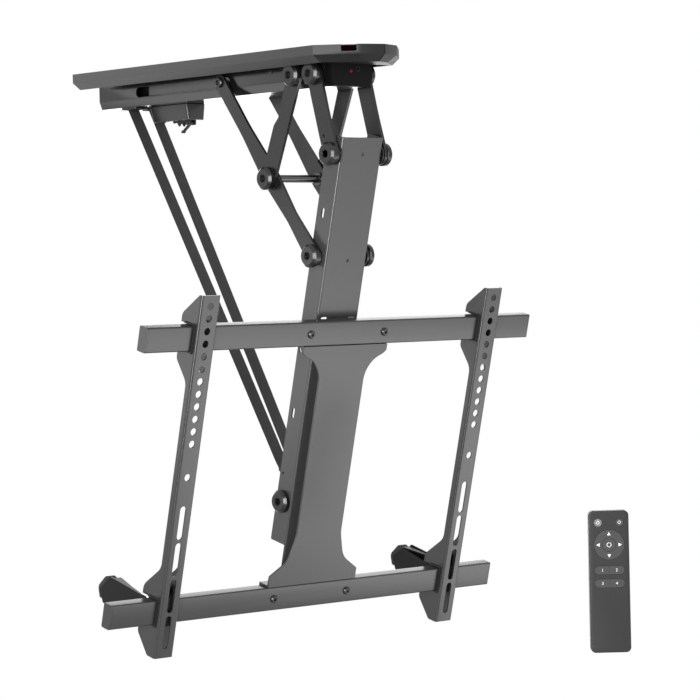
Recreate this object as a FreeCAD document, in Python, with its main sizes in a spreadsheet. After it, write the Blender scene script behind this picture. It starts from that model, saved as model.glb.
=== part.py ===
import FreeCAD, Part
import math
import os

Vec = FreeCAD.Vector
Rot = FreeCAD.Rotation
Place = FreeCAD.Placement

# Frame of the part
# The origin is the centre of the ceiling screw pattern, on the face that lies against the ceiling.
# +Z is up, +X runs along the screen rails and -Y points to the viewer's side of the screen.
# The screen side (mast, rails, brackets) is drawn upright in its own frame, whose origin is the
# middle of the upper rail's front face: X along the rail, Y backwards, Z upwards.
# That frame is then leaned by screen_lean and hung at screen_y, -screen_drop.

SIZES = [
    ("plate_width", 138, "ceiling plate across"),
    ("plate_length", 483, "ceiling plate front to back"),
    ("plate_sheet", 2, "ceiling plate sheet"),
    ("skirt_sheet", 1.5, "folded skirt sheet"),
    ("skirt_drop", 11.5, "upright part of the skirt"),
    ("chamfer_drop", 8.5, "sloping part of the skirt, height"),
    ("chamfer_inset", 11.5, "sloping part of the skirt, inwards"),
    ("skirt_lip", 3, "flat lip under the skirt"),
    ("ceiling_hole_x", 86, "ceiling screw spacing across"),
    ("ceiling_hole_inset", 36.5, "ceiling screws from the plate's ends"),
    ("ceiling_hole_y", "=plate_length - 2 * ceiling_hole_inset", "ceiling screw spacing along"),
    ("ceiling_hole_dia", 9, "ceiling screw hole"),
    ("nose_reach", 51, "front cover ahead of the plate"),
    ("nose_knee_x", 28, "knee of the front cover from the middle"),
    ("nose_knee_reach", 41, "knee of the front cover ahead of the plate"),
    ("cap_wall", 2.5, "front cover wall"),
    ("cap_seam", 1, "gap between the two front covers"),
    ("window_width", 18, "receiver window"),
    ("window_height", 8, "receiver window"),
    ("window_from_knee", 6, "receiver window to the knee"),
    ("window_back", 1.2, "receiver window behind the cover face"),
    ("window_thick", 1.6, "receiver window"),
    ("channel_width", 64, "drive channel outside"),
    ("channel_rear_setback", 7.5, "ceiling plate's rear edge to the channel"),
    ("channel_rear", "=plate_length / 2 - channel_rear_setback", "drive channel rear end"),
    ("channel_setback", 21.5, "ceiling plate's front edge to the channel"),
    ("channel_front", "=plate_length / 2 - channel_setback", "drive channel front end, ahead of the origin"),
    ("channel_depth", 46, "ceiling face to channel underside"),
    ("channel_sheet", 2, "drive channel sheet"),
    ("bevel_height", 10, "bevelled lower edge of the channel"),
    ("bevel_inset", 4, "bevelled lower edge, inwards"),
    ("channel_flange", 7, "top flange of the channel"),
    ("front_cap_length", 13.5, "black end cap of the channel"),
    ("led_x", -2, "power light from the middle"),
    ("led_z", -28, "power light height"),
    ("led_radius", 1.8, "power light"),
    ("jack_x", 8.4, "control socket from the middle"),
    ("jack_z", -25, "control socket height"),
    ("jack_radius", 3.4, "control socket"),
    ("jack_bore", 1.9, "control socket bore"),
    ("slot_inset", 181, "channel's front end to the carriage slot"),
    ("slot_front", "=channel_front - slot_inset", "front end of the carriage slot, ahead of the origin"),
    ("slot_rear_inset", 79.5, "channel's rear end to the carriage slot"),
    ("slot_rear", "=channel_rear - slot_rear_inset", "rear end of the carriage slot"),
    ("slot_height", 13, "carriage slot"),
    ("inner_rail_width", 44, "inner guide rail outside"),
    ("inner_rail_shift", 19, "inner guide rail behind the carriage slot"),
    ("inner_rail_front", "=slot_front - inner_rail_shift", "inner guide rail front end"),
    ("inner_rail_short", 14.5, "inner guide rail's rear end ahead of the slot's rear end"),
    ("inner_rail_rear", "=slot_rear - inner_rail_short", "inner guide rail rear end"),
    ("inner_rail_depth", 33.5, "ceiling face to the guide rail's lower edge"),
    ("board_width", 40, "control board"),
    ("board_length", 84, "control board"),
    ("board_inset", 15, "channel's front end to the control board"),
    ("board_front", "=channel_front - board_inset", "control board front end, ahead of the origin"),
    ("board_drop", 9.5, "ceiling face to the underside of the control board"),
    ("board_thick", 1.6, "circuit boards"),
    ("side_hole_inset", 130.8, "small hole in the channel's side, from its front end"),
    ("side_hole_z", 34.5, "small hole below the ceiling face"),
    ("side_hole_radius", 1.8, "small hole in the channel's side"),
    ("pivot_c_inset", 11.5, "channel's front end to the guide arm pivot"),
    ("pivot_c_y", "=pivot_c_inset - channel_front", "guide arm pivot on the channel"),
    ("pivot_bc_pitch", 31.5, "between the two channel pivots"),
    ("pivot_b_y", "=pivot_c_y + pivot_bc_pitch", "lift arm pivot on the channel"),
    ("pivot_a_back", 179, "carriage pivot behind the guide arm pivot"),
    ("pivot_a_y", "=pivot_c_y + pivot_a_back", "carriage pivot"),
    ("pivot_a_z", -28.5, "carriage pivot"),
    ("pivot_bc_z", -30, "height of both channel pivots"),
    ("pivot_d_back", 84.5, "crossing pivot behind the guide arm pivot"),
    ("pivot_d_y", "=pivot_c_y + pivot_d_back", "crossing pivot of lift arm and drive arm"),
    ("pivot_d_z", -152, "crossing pivot"),
    ("pivot_e_ahead", 27.5, "mast's upper pivot ahead of the guide arm pivot"),
    ("pivot_e_y", "=pivot_c_y - pivot_e_ahead", "guide arm pivot on the mast"),
    ("pivot_e_z", -127.5, "guide arm pivot on the mast"),
    ("pivot_f_back", 9.5, "mast's lower pivot behind the guide arm pivot"),
    ("pivot_f_y", "=pivot_c_y + pivot_f_back", "drive arm pivot on the mast"),
    ("pivot_f_z", -248, "drive arm pivot on the mast"),
    ("inner_arm_x", 36.7, "inner face of drive and guide arms"),
    ("outer_arm_x", 41, "inner face of the lift arms"),
    ("arm_sheet", 4, "arm thickness"),
    ("arm_end_radius", 12.5, "round end of an arm"),
    ("drive_top_radius", 9.5, "upper end of the drive arm"),
    ("drive_waist_radius", 300, "bowed edges of the drive arm"),
    ("guide_belly_radius", 600, "bowed edge of the guide arm"),
    ("pin_radius", 4, "pivot shank"),
    ("pin_gap", 0.06, "radial clearance of a shank in its hole"),
    ("side_gap", 0.3, "side clearance between moving faces"),
    ("cap_radius", 14, "round bolt head"),
    ("cap_face_radius", 11, "flat face of a bolt head"),
    ("cap_taper", 3, "tapered part of a bolt head"),
    ("cap_length", 8.5, "round bolt head"),
    ("recess_radius", 5.2, "round recess in a bolt head"),
    ("recess_depth", 1.2, "round recess in a bolt head"),
    ("hex_socket", 9.2, "hexagon socket across corners"),
    ("hex_depth", 5, "hexagon socket"),
    ("spacer_radius", 8, "pivot spacer"),
    ("nut_radius", 6.5, "nut inside a wall"),
    ("nut_length", 4, "nut inside a wall"),
    ("rod_radius", 5, "cross rod"),
    ("rod_flange_radius", 8, "flange at each end of the cross rod"),
    ("rod_flange", 2, "flange at each end of the cross rod"),
    ("guide_shank", 3.2, "shank of the guide arm bolt in the slotted hole"),
    ("guide_collar", 4.8, "inner end of the guide arm bolt"),
    ("carriage_pin_radius", 3, "carriage pin"),
    ("carriage_head_radius", 6.5, "carriage screw head"),
    ("carriage_length", 16, "carriage along the channel"),
    ("carriage_cheek", 4, "carriage cheek"),
    ("carriage_gap", 0.4, "carriage cheek to guide rail"),
    ("screen_lean", 14.43, "lean of the screen side, degrees"),
    ("screen_ahead", 5.75, "upper rail front face ahead of the guide arm pivot"),
    ("screen_y", "=pivot_c_y - screen_ahead", "upper rail front face"),
    ("screen_drop", 341.83, "ceiling to the upper rail's centre"),
    ("mast_width", 65, "mast outside"),
    ("mast_sheet", 2, "mast sheet"),
    ("mast_bend", 2.8, "outer bend of the mast sheet"),
    ("mast_depth", 28, "mast flanges"),
    ("mast_setback", 22.7, "rail front to mast front"),
    ("mast_top", 235, "mast above the upper rail's centre"),
    ("mast_screw_x", 18, "small holes in the mast's front, from the middle"),
    ("mast_flange_bottom", 273, "flange end below the upper rail's centre"),
    ("mast_web_bottom", 344, "web end below the upper rail's centre"),
    ("shaft_back", 38.4, "strap shaft behind the rail front"),
    ("shaft_below", 221.1, "strap shaft below the upper rail's centre"),
    ("shaft_radius", 5, "strap shaft"),
    ("shaft_thread", 2.5, "stem of a shaft head"),
    ("guide_slot_radius", 5.7, "slotted hole of the guide arm pin"),
    ("guide_slot_length", 14.4, "slotted hole between its end centres"),
    ("washer_radius", 13, "washer over the slotted hole"),
    ("rail_length", 605, "screen rail"),
    ("rail_height", 30, "screen rail"),
    ("rail_depth", 15, "screen rail"),
    ("rail_wall", 1.5, "screen rail"),
    ("rail_spacing", 332, "between the rails' centres"),
    ("plug_flange", 2.5, "rail end plug"),
    ("plug_depth", 12, "rail end plug inside the rail"),
    ("adapter_sheet", 2.5, "adapter plate"),
    ("adapter_gap", 0.2, "adapter plate to rail"),
    ("adapter_top_width", 133, "adapter plate"),
    ("adapter_waist", 71, "adapter plate"),
    ("adapter_bottom_width", 140, "adapter plate"),
    ("adapter_lip", 28, "lip behind a rail"),
    ("adapter_foot", 14, "upright lower corners of the adapter plate"),
    ("adapter_knee_x", 9, "lower flare's knee outside the waist"),
    ("adapter_knee", 31, "lower flare's knee above the plate's foot"),
    ("adapter_knee_radius", 26, "lower flare's knee"),
    ("adapter_waist_start", 62, "waist's lower end above the plate's foot"),
    ("adapter_waist_radius", 40, "waist's lower end"),
    ("adapter_waist_end", 24, "waist's upper end below the plate's top"),
    ("adapter_flare_radius", 34, "waist's upper end"),
    ("rail_screw_x", 58.5, "rail screw from the middle"),
    ("rail_screw_radius", 2.9, "rail screw"),
    ("rail_screw_head", 5, "rail screw head radius"),
    ("bracket_left_inset", 78.5, "left bracket centre from the rail's end"),
    ("bracket_left", "=rail_length / 2 - bracket_left_inset", "left bracket centre from the middle"),
    ("bracket_right_inset", 74, "right bracket centre from the rail's end"),
    ("bracket_right", "=rail_length / 2 - bracket_right_inset", "right bracket centre from the middle"),
    ("bracket_width", 28, "bracket face"),
    ("bracket_sheet", 2, "bracket sheet"),
    ("bracket_bend", 3, "outer bend of the bracket sheet"),
    ("bracket_proud", 7.3, "bracket face ahead of the rails"),
    ("bracket_top", 53, "bracket above the upper rail's centre"),
    ("bracket_bottom", 387, "bracket below the upper rail's centre"),
    ("bracket_deep", 32.2, "flange depth at the upper rail"),
    ("bracket_low_deep", 37.6, "flange depth at the lower rail"),
    ("bracket_shallow", 9.4, "flange depth between the rails"),
    ("bracket_nose", 4.6, "flange depth at the top end"),
    ("bracket_upper_end", 29, "deep flange below the upper rail's centre"),
    ("bracket_lower_start", 26, "deep flange above the lower rail's centre"),
    ("bracket_lower_end", 32, "deep flange below the lower rail's centre"),
    ("bracket_hole_radius", 4.4, "round bracket hole"),
    ("bracket_hole_pitch", 15, "round bracket holes"),
    ("bracket_hole_top", 40.4, "top hole above the upper rail's centre"),
    ("bracket_slot_radius", 4.3, "bracket slot"),
    ("bracket_slot_length", 41, "bracket slot"),
    ("bracket_slot_top", 200, "first slot's upper end, below the upper rail's centre"),
    ("clip_wall", 2.3, "rail clip"),
    ("clip_gap", 0.2, "rail clip to rail"),
    ("clip_width", 32, "rail clip"),
    ("clip_reach", 17.5, "rail clip lips"),
    ("rest_length", 107, "rest arm behind the rail front"),
    ("rest_rise", 16.3, "rest arm above the lower rail's centre"),
    ("rest_fall", 19, "rest arm below the lower rail's centre"),
    ("rest_inner", 2.5, "rest arm inner plate from the bracket's middle"),
    ("rest_outer", 18.5, "rest arm outer plate from the bracket's middle"),
    ("rest_sheet", 2, "rest arm sheet"),
    ("drum_inset", 22.5, "channel's rear end to the strap drum axis"),
    ("drum_y", "=channel_rear - drum_inset", "strap drum axis"),
    ("drum_z", -25, "strap drum axis"),
    ("drum_radius", 13.2, "strap drum with its wound strap"),
    ("drum_flange_radius", 15.6, "strap drum flange"),
    ("drum_strap_radius", 14, "strap's middle where it leaves the drum"),
    ("strap_x", 17.4, "strap on the drum from the middle"),
    ("strap_foot_x", 9, "strap on the shaft from the middle"),
    ("strap_width", 17.5, "strap"),
    ("strap_thick", 1.4, "strap"),
    ("exit_reach", 46.8, "strap opening's front edge ahead of the drum axis"),
    ("exit_x", 16.8, "strap opening's middle from the channel's middle"),
    ("exit_length", 27, "strap opening"),
    ("exit_front", "=drum_y - exit_reach", "strap opening in the channel, front edge"),
    ("exit_rear", "=exit_front + exit_length", "strap opening in the channel, rear edge"),
    ("motor_radius", 13, "drive motor"),
    ("motor_z", -19, "drive motor axis"),
    ("gearbox_reach", 51.5, "gearbox front ahead of the drum axis"),
    ("gearbox_front", "=drum_y - gearbox_reach", "gearbox"),
    ("motor_length", 165, "drive motor"),
    ("motor_front", "=motor_length - gearbox_front", "drive motor front end, ahead of the origin"),
    ("gearbox_width", 14, "gearbox"),
    ("box_length", 78, "switch box"),
    ("box_gap", 2.2, "switch box to the strap openings"),
    ("box_y", "=exit_front - box_gap - box_length", "switch box front"),
    ("box_left", -5, "switch box left side"),
    ("box_right", 27, "switch box right side"),
    ("box_depth", 21, "switch box"),
    ("box_corner", 3.5, "upright corners of the switch box"),
    ("lever_x", 11, "switch lever"),
    ("lever_inset", 10.5, "switch lever hinge behind the box's front"),
    ("lever_pivot_y", "=box_y + lever_inset", "switch lever hinge"),
    ("lever_length", 20, "switch lever"),
    ("lever_width", 5, "switch lever"),
    ("lever_angle", 33, "switch lever below level, degrees"),
    ("remote_x", 224.5, "remote control centre"),
    ("remote_y", -423.6, "remote control centre"),
    ("remote_z", -648, "remote control centre"),
    ("remote_turn", -41, "remote control about the upright, degrees"),
    ("remote_width", 48.5, "remote control"),
    ("remote_height", 171, "remote control"),
    ("remote_depth", 16, "remote control"),
    ("remote_corner", 6, "remote control"),
    ("remote_wall", 1.8, "remote control shell"),
    ("remote_split", 9, "front shell depth"),
    ("key_rise", 0.3, "keys above the shell"),
    ("key_gap", 0.25, "key to its opening"),
    ("key_depth", 4.5, "key below the shell's face"),
    ("round_key_radius", 4.8, "round key"),
    ("round_key_x", 12.9, "round keys from the middle"),
    ("round_key_z", 71.4, "round keys above the middle"),
    ("ring_z", 44.6, "direction ring above the middle"),
    ("ring_radius", 18.1, "direction ring"),
    ("ok_radius", 8.1, "key in the ring"),
    ("pill_width", 36, "long keys"),
    ("pill_height", 10.2, "long keys"),
    ("number_key_z", 13.9, "number key above the middle"),
    ("memory_key_z", -1.9, "memory key above the middle"),
]

doc = FreeCAD.newDocument("ceiling_mount")
sheet = doc.addObject("Spreadsheet::Sheet", "sizes")
for row, (alias, size, note) in enumerate(SIZES, start=1):
    sheet.set("A%d" % row, note)
    sheet.set("B%d" % row, str(size))
    sheet.setAlias("B%d" % row, alias)
doc.recompute()


def size(alias):
    return float(sheet.get(alias))


def cell(text):
    """An expression in which every word is a cell of the sheet."""
    words = {alias for alias, _, _ in SIZES}
    parts = text.replace("(", " ( ").replace(")", " ) ").split()
    return " ".join("sizes." + part if part in words else part for part in parts)


parts = []


def keep(part, label):
    part.Label = label
    parts.append(part)
    return part


# Outlines

def outline(points):
    """A closed outline through (x, y, radius) corners, each rounded by its radius."""
    count = len(points)
    corners = []
    for index, (x, y, radius) in enumerate(points):
        here = Vec(x, y, 0)
        before = Vec(*points[index - 1][:2], 0)
        after = Vec(*points[(index + 1) % count][:2], 0)
        back = (before - here).normalize()
        ahead = (after - here).normalize()
        half = back.getAngle(ahead) / 2
        if radius <= 0 or abs(half - math.pi / 2) < 1e-4:
            corners.append((here, None, here))
            continue
        reach = radius / math.tan(half)
        middle = (back + ahead).normalize()
        top = here + middle * (radius / math.sin(half) - radius)
        corners.append((here + back * reach, top, here + ahead * reach))
    edges = []
    for index, (start, top, end) in enumerate(corners):
        if top is not None:
            edges.append(Part.Arc(start, top, end))
        following = corners[(index + 1) % count][0]
        if (following - end).Length > 1e-5:
            edges.append(Part.LineSegment(end, following))
    return edges


def rectangle(x0, y0, x1, y1, radius=0):
    return outline([(x0, y0, radius), (x1, y0, radius), (x1, y1, radius), (x0, y1, radius)])


def circle(x, y, radius):
    return [Part.Circle(Vec(x, y, 0), Vec(0, 0, 1), radius)]


def obround(x0, y0, x1, y1, radius):
    """A slot between two end centres."""
    start = Vec(x0, y0, 0)
    end = Vec(x1, y1, 0)
    along = (end - start).normalize()
    side = Vec(-along.y, along.x, 0) * radius
    return [
        Part.LineSegment(start + side, end + side),
        Part.Arc(end + side, end + along * radius, end - side),
        Part.LineSegment(end - side, start - side),
        Part.Arc(start - side, start - along * radius, start + side),
    ]


def hexagon(x, y, radius):
    steps = range(6)
    return outline([(x + radius * math.cos(math.pi / 3 * k), y + radius * math.sin(math.pi / 3 * k), 0)
                    for k in steps])


def wire(edges):
    return Part.Wire(Part.__sortEdges__([edge.toShape() for edge in edges]))


def face(*loops):
    return Part.makeFace([wire(edges) for edges in loops], "Part::FaceMakerBullseye")


# Bodies made of padded sketches

def new_body(label, placement=None):
    body = keep(doc.addObject("PartDesign::Body", label), label)
    if placement is not None:
        body.Placement = placement
    return body


def pad(body, name, plane, loops, length, offset="0", back=False):
    """Pads a sketch of closed loops on one of the body's origin planes, moved along its normal."""
    sketch = body.newObject("Sketcher::SketchObject", name)
    for feature in body.Origin.OriginFeatures:
        if feature.Role == plane:
            sketch.AttachmentSupport = [(feature, "")]
    sketch.MapMode = "FlatFace"
    sketch.setExpression("AttachmentOffset.Base.z", cell(offset))
    for loop in loops:
        sketch.addGeometry(loop, False)
    feature = body.newObject("PartDesign::Pad", name + "_pad")
    feature.Profile = sketch
    feature.setExpression("Length", cell(length))
    feature.Reversed = back
    sketch.Visibility = False
    return feature


def section(points):
    return outline([(x, y, 0) for x, y in points])


def group(label, shapes, placement=None):
    """One node that holds a piece, or several like pieces, made with Part's own functions."""
    feature = keep(doc.addObject("Part::Feature", label), label)
    feature.Shape = Part.Compound(shapes) if len(shapes) > 1 else shapes[0]
    if placement is not None:
        feature.Placement = placement.multiply(feature.Placement)
    return feature


def turned(profile, y, z, side):
    """Turns (x, radius) points about an axis along X; side is 1 on the right and -1 on the left."""
    points = [Vec(side * x, radius, 0) for x, radius in profile]
    loop = Part.makePolygon(points + [points[0]])
    solid = Part.Face(loop).revolve(Vec(0, 0, 0), Vec(1, 0, 0), 360)
    solid = Part.Solid(solid) if solid.ShapeType != "Solid" else solid
    solid.translate(Vec(0, y, z))
    return solid


def socket(x, y, z, side):
    """The hexagon socket that is cut into a bolt head whose outer face is at x."""
    loop = face(hexagon(0, 0, size("hex_socket") / 2))
    tool = loop.extrude(Vec(0, 0, size("hex_depth")))
    turn = Rot(Vec(0, 1, 0), -90 * side)
    tool.Placement = Place(Vec(side * x, y, z), turn)
    return tool


screen = Place(Vec(0, size("screen_y"), -size("screen_drop")), Rot(Vec(1, 0, 0), size("screen_lean")))
upright = screen.inverse()


def on_screen(y, z):
    """A point of the part's own frame as (back, up) in the screen side's frame."""
    point = upright.multVec(Vec(0, y, z))
    return point.y, point.z


half_channel = size("channel_width") / 2
wall_in = half_channel - size("channel_sheet")
half_mast = size("mast_width") / 2
mast_in = half_mast - size("mast_sheet")
arm_out = size("inner_arm_x") + size("arm_sheet")
lift_out = size("outer_arm_x") + size("arm_sheet")
shank_hole = size("pin_radius") + size("pin_gap")


# Ceiling plate with its folded skirt

def make_ceiling_plate():
    half = size("plate_width") / 2
    length = size("plate_length")
    drop = size("skirt_drop")
    low = drop + size("chamfer_drop")
    inset = half - size("chamfer_inset")
    thick = size("skirt_sheet")
    lip = inset - size("skirt_lip")
    body = new_body("ceiling_plate")
    holes = [circle(sx * size("ceiling_hole_x") / 2, sy * size("ceiling_hole_y") / 2,
                    size("ceiling_hole_dia") / 2) for sx in (-1, 1) for sy in (-1, 1)]
    pad(body, "plate_top", "XY_Plane", [rectangle(-half, -length / 2, half, length / 2)] + holes,
        "plate_sheet", back=True)
    skirt = [(half, 0), (half, -drop), (inset, -low), (lip, -low), (lip, -low + thick),
             (inset - 0.3 * thick, -low + thick), (half - thick, -drop + 0.4 * thick), (half - thick, 0)]
    for name, side in (("right", 1), ("left", -1)):
        pad(body, "skirt_" + name, "XZ_Plane", [section([(side * x, z) for x, z in skirt])],
            "plate_length", "- plate_length / 2")


# Two plastic covers that close the front of the plate

def nose_loop(inset, side):
    """Half of the front cover seen from above, drawn in by inset, on one side of the seam."""
    front = -size("plate_length") / 2
    half = size("plate_width") / 2 - inset
    seam = size("cap_seam") / 2
    knee_x = size("nose_knee_x") - 0.42 * inset
    knee_y = front - size("nose_knee_reach") + inset
    tip_y = front - size("nose_reach") + inset
    points = [(seam, front), (half, front), (knee_x, knee_y), (seam, tip_y)]
    return Part.makePolygon([Vec(side * x, y, 0) for x, y in points + [points[0]]])


def nose_shell(side):
    drop = size("skirt_drop")
    low = drop + size("chamfer_drop")
    wall = size("cap_wall")
    solids = []
    for inset, top, floor in ((0, 0, low), (wall, wall, low - wall)):
        upper = nose_loop(inset, side)
        upper.translate(Vec(0, 0, -drop))
        lower = nose_loop(size("chamfer_inset") + 0.2 * inset, side)
        lower.translate(Vec(0, 0, -floor))
        block = Part.Face(nose_loop(inset, side)).extrude(Vec(0, 0, top - drop))
        block.translate(Vec(0, 0, -top))
        foot = Part.makeLoft([upper, lower], True, True)
        solids.append(block.fuse(foot))
    return solids[0].cut(solids[1]).removeSplitter()


def window_block(back, depth, grow, top):
    """A block along the left slanting face of the cover, set back from it and grown at its edges."""
    front = -size("plate_length") / 2
    shoulder = Vec(-size("plate_width") / 2, front, 0)
    knee = Vec(-size("nose_knee_x"), front - size("nose_knee_reach"), 0)
    along = (knee - shoulder).normalize()
    turn = Rot(Vec(1, 0, 0), along)
    block = Part.makeBox(size("window_width") + 2 * grow, depth, size("window_height") + grow - top)
    start = knee - along * (size("window_from_knee") + size("window_width") + grow)
    inward = turn.multVec(Vec(0, 1, 0))
    block.Placement = Place(start + inward * back, turn)
    block.translate(Vec(0, 0, -size("window_height") - grow))
    return block


def make_front_covers():
    """The left cover has an open-topped recess, with the receiver window set back in it."""
    recess = window_block(-1, size("cap_wall") + 3, 0.1, -1)
    group("front_cover_left", [nose_shell(-1).cut(recess)])
    group("front_cover_right", [nose_shell(1)])
    group("receiver_window", [window_block(size("window_back"), size("window_thick"), 0, 1.2)])


# Drive channel under the plate, with its slots, pivots and strap openings

def make_drive_channel():
    top = size("plate_sheet")
    low = size("channel_depth")
    sheet_t = size("channel_sheet")
    bevel_top = low - size("bevel_height")
    inset = half_channel - size("bevel_inset")
    front = -size("channel_front")
    rear = size("channel_rear")
    hole = size("pin_radius") - 1 + size("pin_gap")
    body = new_body("drive_channel")
    slot_r = size("slot_height") / 2
    wall = [
        rectangle(front, -bevel_top, rear, -top),
        obround(-size("slot_front") + slot_r, size("pivot_a_z"), size("slot_rear") - slot_r,
                size("pivot_a_z"), slot_r),
        circle(size("pivot_b_y"), size("pivot_bc_z"), hole),
        circle(size("pivot_c_y"), size("pivot_bc_z"), hole),
        circle(front + size("side_hole_inset"), -size("side_hole_z"), size("side_hole_radius")),
    ]
    pad(body, "right_wall", "YZ_Plane", wall, "channel_sheet", "channel_width / 2 - channel_sheet")
    floor = [rectangle(-inset, front, inset, rear)]
    for side in (-1, 1):
        half_w = size("strap_width") / 2 + 1.5
        x = side * size("exit_x")
        floor.append(rectangle(x - half_w, size("exit_front"), x + half_w, size("exit_rear"), 2))
    pad(body, "right_bevel", "XZ_Plane",
        [section([(half_channel, -bevel_top), (inset, -low), (inset - sheet_t, -low),
                  (half_channel - sheet_t, -bevel_top)])],
        "channel_rear + channel_front", "- channel_rear")
    pad(body, "floor", "XY_Plane", floor, "channel_sheet", "- channel_depth")
    pad(body, "left_bevel", "XZ_Plane",
        [section([(-half_channel, -bevel_top), (-inset, -low), (sheet_t - inset, -low),
                  (sheet_t - half_channel, -bevel_top)])],
        "channel_rear + channel_front", "- channel_rear")
    pad(body, "left_wall", "YZ_Plane", wall, "channel_sheet", "- channel_width / 2")
    flange = size("channel_flange")
    for name, side in (("right", 1), ("left", -1)):
        pad(body, name + "_flange", "XY_Plane",
            [rectangle(min(side * wall_in, side * (wall_in - flange)), front,
                       max(side * wall_in, side * (wall_in - flange)), rear)],
            "channel_sheet", "- plate_sheet - channel_sheet")
    end = [(-wall_in, -top), (-wall_in, -bevel_top), (sheet_t - inset, sheet_t - low),
           (inset - sheet_t, sheet_t - low), (wall_in, -bevel_top), (wall_in, -top)]
    pad(body, "rear_plate", "XZ_Plane", [section(end)], "channel_sheet", "- channel_rear")


def channel_outline(inset, grow=0):
    top = size("plate_sheet") + inset
    low = size("channel_depth") - inset
    knee = size("channel_depth") - size("bevel_height") + 0.4 * inset
    out = half_channel - inset
    foot = half_channel - size("bevel_inset") - 0.6 * inset
    return section([(out, -top), (out, -knee), (foot, -low), (-foot, -low), (-out, -knee), (-out, -top)])


def make_channel_front():
    led = Vec(size("led_x"), 0, size("led_z"))
    jack = Vec(size("jack_x"), 0, size("jack_z"))
    gap = 0.05
    body = new_body("channel_front_cap")
    face_holes = [circle(led.x, led.z, size("led_radius")), circle(jack.x, jack.z, size("jack_radius"))]
    pad(body, "front_face", "XZ_Plane", [channel_outline(0)] + face_holes, "channel_sheet",
        "channel_front + front_cap_length - channel_sheet")
    pad(body, "front_skirt", "XZ_Plane", [channel_outline(0), channel_outline(size("channel_sheet"))],
        "front_cap_length - channel_sheet", "channel_front")
    face_y = -size("channel_front") - size("front_cap_length")
    back = Vec(0, 1, 0)
    lens = Part.makeCylinder(size("led_radius") - gap, 5, led + back * (face_y - 0.8), back)
    rim = [edge for edge in lens.Edges if edge.BoundBox.YMax < face_y]
    group("power_light", [lens.makeFillet(0.7, rim)])
    ring = Part.makeCylinder(size("jack_radius") - gap, 9, jack + back * (face_y - 0.4), back)
    bore = Part.makeCylinder(size("jack_bore"), 7, jack + back * (face_y - 0.4), back)
    group("control_socket", [ring.cut(bore)])


def make_inner_rail():
    half = size("inner_rail_width") / 2
    thick = size("channel_sheet")
    top = size("plate_sheet")
    low = size("inner_rail_depth")
    body = new_body("inner_guide_rail")
    pad(body, "rail_section", "XZ_Plane",
        [section([(half, -top), (half, -low), (half - thick, -low), (half - thick, -top - thick),
                  (thick - half, -top - thick), (thick - half, -low), (-half, -low), (-half, -top)])],
        "inner_rail_rear + inner_rail_front", "- inner_rail_rear")


def make_control_board():
    """A board on four posts under the plate, with two parts hanging from it."""
    half = size("board_width") / 2
    length = size("board_length")
    front = -size("board_front")
    thick = size("board_thick")
    low = -size("board_drop")
    post = -size("plate_sheet") - low - thick
    inset = half / 5
    board = Part.makeBox(2 * half, length, thick, Vec(-half, front, low))
    pieces = []
    for x in (inset - half, half - inset):
        for y in (front + inset, front + length - inset):
            pieces.append(Part.makeCylinder(2.5, post, Vec(x, y, low + thick)))
    pieces.append(Part.makeBox(16, 18, 9, Vec(-8, front + 0.54 * length, low - 9)))
    pieces.append(Part.makeBox(12, 10, 7, Vec(2, front + 0.06 * length, low - 7)))
    group("control_board", [board.fuse(pieces).removeSplitter()])


# Drive: motor and gearbox, strap drum and strap guides

def make_drive():
    radius = size("motor_radius")
    front = -size("motor_front")
    gear_front = size("gearbox_front")
    half = size("gearbox_width") / 2
    floor_z = -size("channel_depth") + size("channel_sheet")
    motor = Part.makeCylinder(radius, gear_front - front, Vec(0, front, size("motor_z")), Vec(0, 1, 0))
    ring = Part.makeCylinder(radius + 0.8, 6, Vec(0, gear_front - 30, size("motor_z")), Vec(0, 1, 0))
    group("drive_motor", [motor.fuse(ring).removeSplitter()])
    rear = size("channel_rear") - size("channel_sheet")
    box = Part.makeBox(2 * half, rear - gear_front, 38, Vec(-half, gear_front, floor_z))
    bore = Part.makeCylinder(shank_hole, 100, Vec(-50, size("drum_y"), size("drum_z")), Vec(1, 0, 0))
    group("gearbox", [box.cut(bore)])

    core = size("drum_radius")
    flange = size("drum_flange_radius")
    stub = size("pin_radius")
    reel_in = size("strap_x") - size("strap_width") / 2 - 0.4
    reel_out = size("strap_x") + size("strap_width") / 2 + 0.4
    end = wall_in - 0.2
    reels = []
    for side in (-1, 1):
        reels.append(turned([(0, 0), (end, 0), (end, stub), (reel_out + 0.8, stub),
                             (reel_out + 0.8, flange), (reel_out, flange), (reel_out, core), (reel_in, core),
                             (reel_in, flange), (reel_in - 0.8, flange), (reel_in - 0.8, stub),
                             (0, stub)], size("drum_y"), size("drum_z"), side))
    group("strap_drum", [reels[0].fuse(reels[1]).removeSplitter()])
    guides = []
    under = -size("channel_depth")
    for side in (-1, 1):
        x = side * size("exit_x")
        half_w = size("strap_width") / 2
        outer = half_w + 2.4
        inner = half_w + 1.1
        rim = face(rectangle(x - outer, size("exit_front") - 2, x + outer, size("exit_rear") + 2, 4),
                   rectangle(x - inner, size("exit_front") + 1, x + inner, size("exit_rear") - 1, 3))
        rim.translate(Vec(0, 0, under - 3))
        guides.append(rim.extrude(Vec(0, 0, 3)))
    group("strap_guides", guides)


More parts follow.
